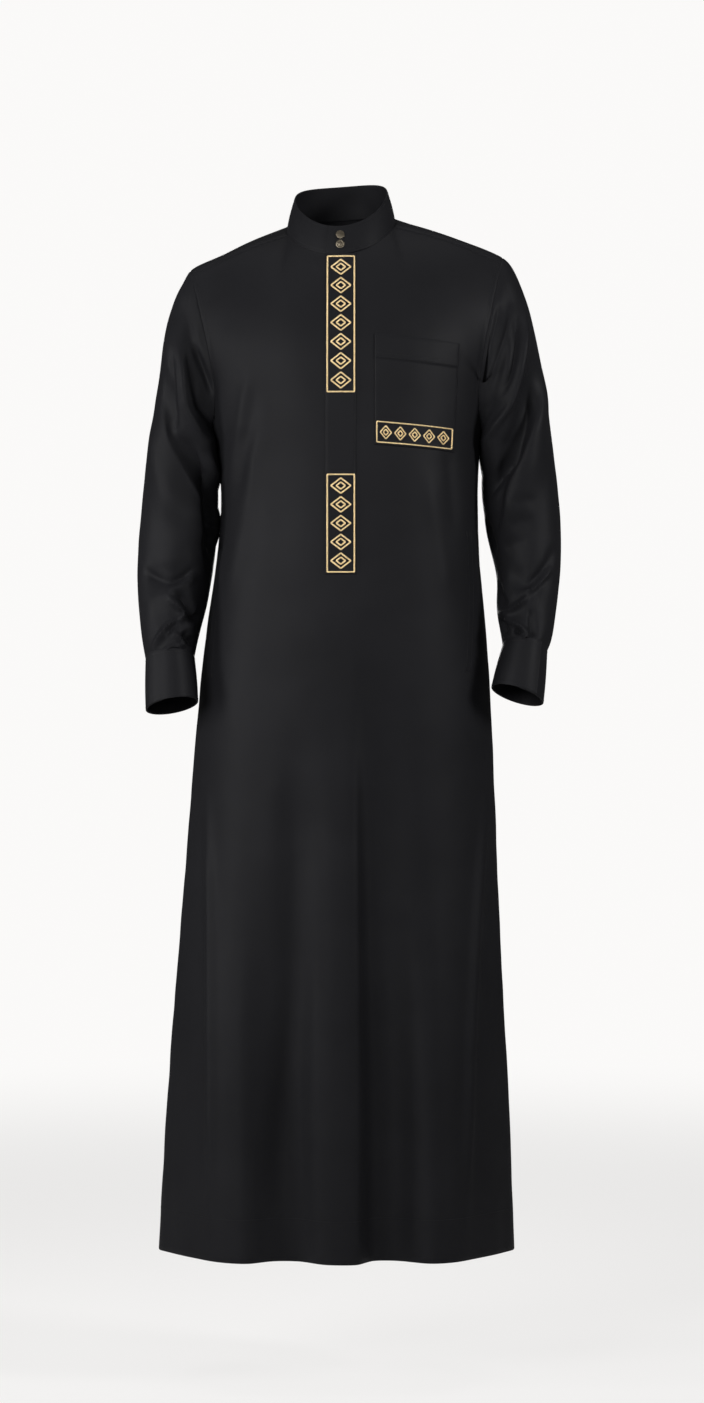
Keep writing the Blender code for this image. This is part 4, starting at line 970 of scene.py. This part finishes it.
def chainBand(low, high, node, along):  # a border and its lozenges between two corners
    (left, bottom), (right, top) = low, high
    paths = [ringOf([(left, bottom), (right, bottom), (right, top), (left, top)])]
    middle = [(left + right) / 2, (bottom + top) / 2]
    length = abs(high[along] - low[along]) - 2 * chain["clear"] + chain["apart"]
    count = round(length / chain["pitch"][node])
    pitch = length / count
    half = [0.0, 0.0]
    half[along] = (pitch - chain["apart"]) / 2
    half[1 - along] = abs(high[1 - along] - low[1 - along]) / 2 - chain["clear"]
    for k in range(count):
        x, z = middle
        x, z = (x, z + (k - (count - 1) / 2) * pitch) if along else (x + (k - (count - 1) / 2) * pitch, z)
        for size in (1.0, chain["inner"]):
            a, b = half[0] * size, half[1] * size
            paths.append(ringOf([(x + a, z), (x, z - b), (x - a, z), (x, z + b)]))
    return paths


def placketPaths():
    reach = chain["outer"]
    return [path for top, end in chain["bands"]
            for path in chainBand((-reach, end), (reach, top), "placket", 1)]


def pocketPaths():
    return chainBand(*chain["pocketBand"], "pocket", 0)


def makeEmbroidery(name, paths, place, node):
    points, faces, uvs = [], [], []
    for path in paths:
        addCord(points, faces, uvs, path, place, chain["width"][node])
    mesh = bpy.data.meshes.new(name)
    mesh.from_pydata(points, [], faces)
    layer = mesh.uv_layers.new(name="thread")
    layer.data.foreach_set("uv", np.array([uv for face in uvs for uv in face]).ravel())
    mesh.materials.append(goldThread)
    piece = newObject(name, mesh)
    mend = bmesh.new()
    mend.from_mesh(mesh)
    bmesh.ops.recalc_face_normals(mend, faces=mend.faces)
    mend.to_mesh(mesh)
    mend.free()
    smoothByAngle(piece, 60)
    declare(piece)
    print(name, "faces", len(mesh.polygons))
    return piece


placketGold = makeEmbroidery("placket_embroidery", placketPaths(), lambda x, z: (x, z), "placket")
pocketGold = makeEmbroidery("pocket_embroidery", pocketPaths(), pocketPlace, "pocket")

# Snaps
snapLook = {
    "radius": 0.0058,
    "height": 0.0017,
    "steps": 48,
    "sunk": 0.0004,  # how far the disc's middle is set below half the height
    "disc": 0.6,  # the plain disc's share of the height
    "round": 0.00012,
    # each ring of the cap: how far in from the last one, and how far up or down
    "rings": ((0.0009, 0.00025), (0.0006, -0.00005), (0.0004, -0.00045), (0.0011, 0.0001), (0.0003, 0.00055),
              (0.0009, 0.0002), (0.0008, 0.00005)),
}


def makeSnap(node, name):
    lowCorner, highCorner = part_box(node)
    middle = (lowCorner + highCorner) / 2
    spot, normal, index, distance = fromFront(bandTrees["collar"], middle.x, middle.z)
    look = snapLook
    turn = normal.to_track_quat("Z", "Y").to_euler()
    bpy.ops.object.select_all(action="DESELECT")
    bpy.ops.mesh.primitive_cylinder_add(
        vertices=look["steps"], radius=look["radius"], depth=look["height"] * look["disc"],
        location=spot + normal * (look["height"] / 2 - look["sunk"]), rotation=turn)
    piece = bpy.context.object
    piece.name = piece.data.name = name
    bpy.ops.object.transform_apply(location=True, rotation=True, scale=True)
    cap = max(piece.data.polygons, key=lambda f: f.normal.dot(normal) * (len(f.vertices) > 4)).index
    for f in piece.data.polygons:
        f.select = f.index == cap
    bpy.ops.object.mode_set(mode="EDIT")
    bpy.ops.mesh.select_mode(type="FACE")
    for inward, up in look["rings"]:
        bpy.ops.mesh.inset(thickness=inward, depth=0)
        bpy.ops.transform.translate(value=normal * up)
    bpy.ops.object.mode_set(mode="OBJECT")
    finishWith(piece, "BEVEL", width=look["round"], segments=2, limit_method="ANGLE",
               angle_limit=math.radians(35))
    piece.data.materials.clear()
    piece.data.materials.append(snapMetal)
    smoothByAngle(piece, 50)
    declare(piece, node)


makeSnap("snap_upper", "upper_snap_cap")
makeSnap("snap_lower", "lower_snap_cap")
print("snaps made")

# Seam and edge stitching
stitching = {
    "pitch": 0.0031,
    "length": 0.0024,
    "thick": 0.00042,
    "edge": 0.0022,  # from a patch's edge
    "band": 0.0034,  # from a collar's or cuff's long edge
    "hem": 0.058,
    "hemRows": 9,  # how many of the wall's rows the hem's stitching lies within
    "yokeColumns": (6, 37),  # between the armholes behind
    "yokeRows": 10,  # of its front seams
    "pocketEdge": 0.6,  # the pocket's rows lie closer to its edge by this share
    "pocketTop": 0.0048,  # between the two rows on its turned-down top
    "waist": 0.62,  # a stitch is thick up to this share of its length each way
    "lift": 0.35,  # its middle's height over the cloth, as a share of half its thickness
    "seam": 0.0058,  # from an armhole or yoke seam
    "pocketRow": 0.006,  # the second row beside a side pocket's opening
    "tack": (0.009, 0.0007, 9),  # a bar tack's width, and its stitches' pitch and count
}
sidePockets = {  # a side pocket's opening on the front, from top to bottom (x, z), and towards the middle
    "right": ([(-0.163, -0.429), (-0.172, -0.500), (-0.178, -0.560), (-0.183, -0.618)], 1),
    "left": ([(0.178, -0.425), (0.181, -0.490), (0.180, -0.550), (0.177, -0.611)], -1),
}


def alongLine(line, pitch):
    line = np.array([tuple(p) for p in line], float)
    steps = np.concatenate([[0], np.cumsum(np.linalg.norm(np.diff(line, axis=0), axis=1))])
    count = max(2, int(steps[-1] / pitch))
    places = (np.arange(count) + 0.5) * steps[-1] / count

    def at(shift):
        return np.stack([np.interp(places + shift, steps, line[:, k]) for k in range(line.shape[1])], axis=1)

    return at(0), at(pitch / 3) - at(-pitch / 3)


def addStitch(points, faces, spot, normal, way):
    way = (way - normal * way.dot(normal)).normalized()
    side = normal.cross(way)
    long, thick, start = stitching["length"] / 2, stitching["thick"] / 2, len(points)
    points.append(spot - way * long)
    for share in (-stitching["waist"], stitching["waist"]):
        middle = spot + way * (long * share) + normal * (thick * stitching["lift"])
        points.extend([middle + side * thick, middle + normal * thick,
                       middle - side * thick, middle - normal * thick])
    points.append(spot + way * long)
    for k in range(4):
        n = (k + 1) % 4
        faces.append([start, start + 1 + n, start + 1 + k])
        faces.append([start + 1 + k, start + 1 + n, start + 5 + n, start + 5 + k])
        faces.append([start + 9, start + 5 + k, start + 5 + n])


def frontWay(place, spot, way):
    a, b = onFront(*place(*(spot - way / 2))), onFront(*place(*(spot + way / 2)))
    return b[0] - a[0]


def makeStitching():
    points, faces = [], []

    def runFlat(line, place):
        spots, ways = alongLine(line, stitching["pitch"])
        for spot, way in zip(spots, ways):
            at, normal = onFront(*place(*spot))
            addStitch(points, faces, at, normal, frontWay(place, spot, way))

    def runOn(tree, line):
        spots, ways = alongLine(line, stitching["pitch"])
        for spot, way in zip(spots, ways):
            at, normal, index, distance = tree.find_nearest(Vector(spot))
            addStitch(points, faces, at, normal, Vector(way))

    def plain(x, z):
        return x, z

    edge = stitching["edge"]
    half, low, high = placketLook["halfWidth"] - edge, placketLook["endZ"] + edge, placketLook["topZ"] - 0.002
    for side in (-1, 1):
        runFlat([(side * half, high), (side * half, low)], plain)
    runFlat([(-half, low), (half, low)], plain)
    wide, tall = pocketSize()
    near = edge * stitching["pocketEdge"]
    runFlat([(near, edge), (near, tall - near), (wide - near, tall - near), (wide - near, edge)], pocketPlace)
    for lower in (0.0, stitching["pocketTop"]):
        depth = pocketLook["band"] - edge - lower
        runFlat([(edge, depth), (wide - edge, depth)], pocketPlace)
    # the side pockets: two rows beside each opening and a bar tack at each end
    wide, pitch, count = stitching["tack"]
    for line, inward in sidePockets.values():
        for aside in (0.0, stitching["pocketRow"]):
            runFlat([(x + inward * aside, z) for x, z in line], plain)
        for x, z in (line[0], line[-1]):
            for k in range(count):
                runFlat([(x, z - k * pitch), (x + inward * wide, z - k * pitch)], plain)
    # above the hem, all round
    for name in ("front", "back"):
        grid = splitRows(grids[name], cloth["skirtRows"], cloth["body"][0])
        heights = grid[: stitching["hemRows"], :, 2]
        line = []
        for c in range(grid.shape[1]):
            row = np.interp(heights[0, c] + stitching["hem"], heights[:, c], np.arange(len(heights)))
            i = int(row)
            line.append(grid[i, c] + (grid[i + 1, c] - grid[i, c]) * (row - i))
        runOn(panelTrees[name], line)
    # beside the yoke's seams, on the yoke
    yoke, seam, ends = grids["yoke"], stitching["seam"], ((0, 1), (-1, -2))
    columns = range(*stitching["yokeColumns"])
    runOn(panelTrees["yoke"], [inFrom(yoke[-1, c], yoke[-2, c], seam) for c in columns])
    for edgeAt, inside in ends:
        line = [inFrom(row[edgeAt], row[inside], seam) for row in yoke[: stitching["yokeRows"]]]
        runOn(panelTrees["yoke"], line)
    # round the armholes, on the panels beside them
    for name in ("front", "back"):
        for edgeAt, inside in ends:
            rows = grids[name][cloth["skirtRows"] + 1 :]
            runOn(panelTrees[name], [inFrom(row[edgeAt], row[inside], seam) for row in rows])
    # round the bands' edges
    for node, tree in bandTrees.items():
        grid = grids[node]
        for edgeAt, inside in ends:
            line = [inFrom(a, b, stitching["band"]) for a, b in zip(grid[edgeAt], grid[inside])]
            runOn(tree, line[1:-1])
        for edgeAt, inside in ends:
            runOn(tree, [inFrom(row[edgeAt], row[inside], edge) for row in grid])
    mesh = bpy.data.meshes.new("edge_stitching")
    mesh.from_pydata(points, [], faces)
    mesh.materials.append(blackThread)
    mesh.shade_smooth()
    piece = newObject("edge_stitching", mesh)
    declare(piece)
    print("edge_stitching faces", len(faces))
    return piece


stitches = makeStitching()

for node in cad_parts.values():
    node.data.materials.clear()
    node.data.materials.append(suiting)
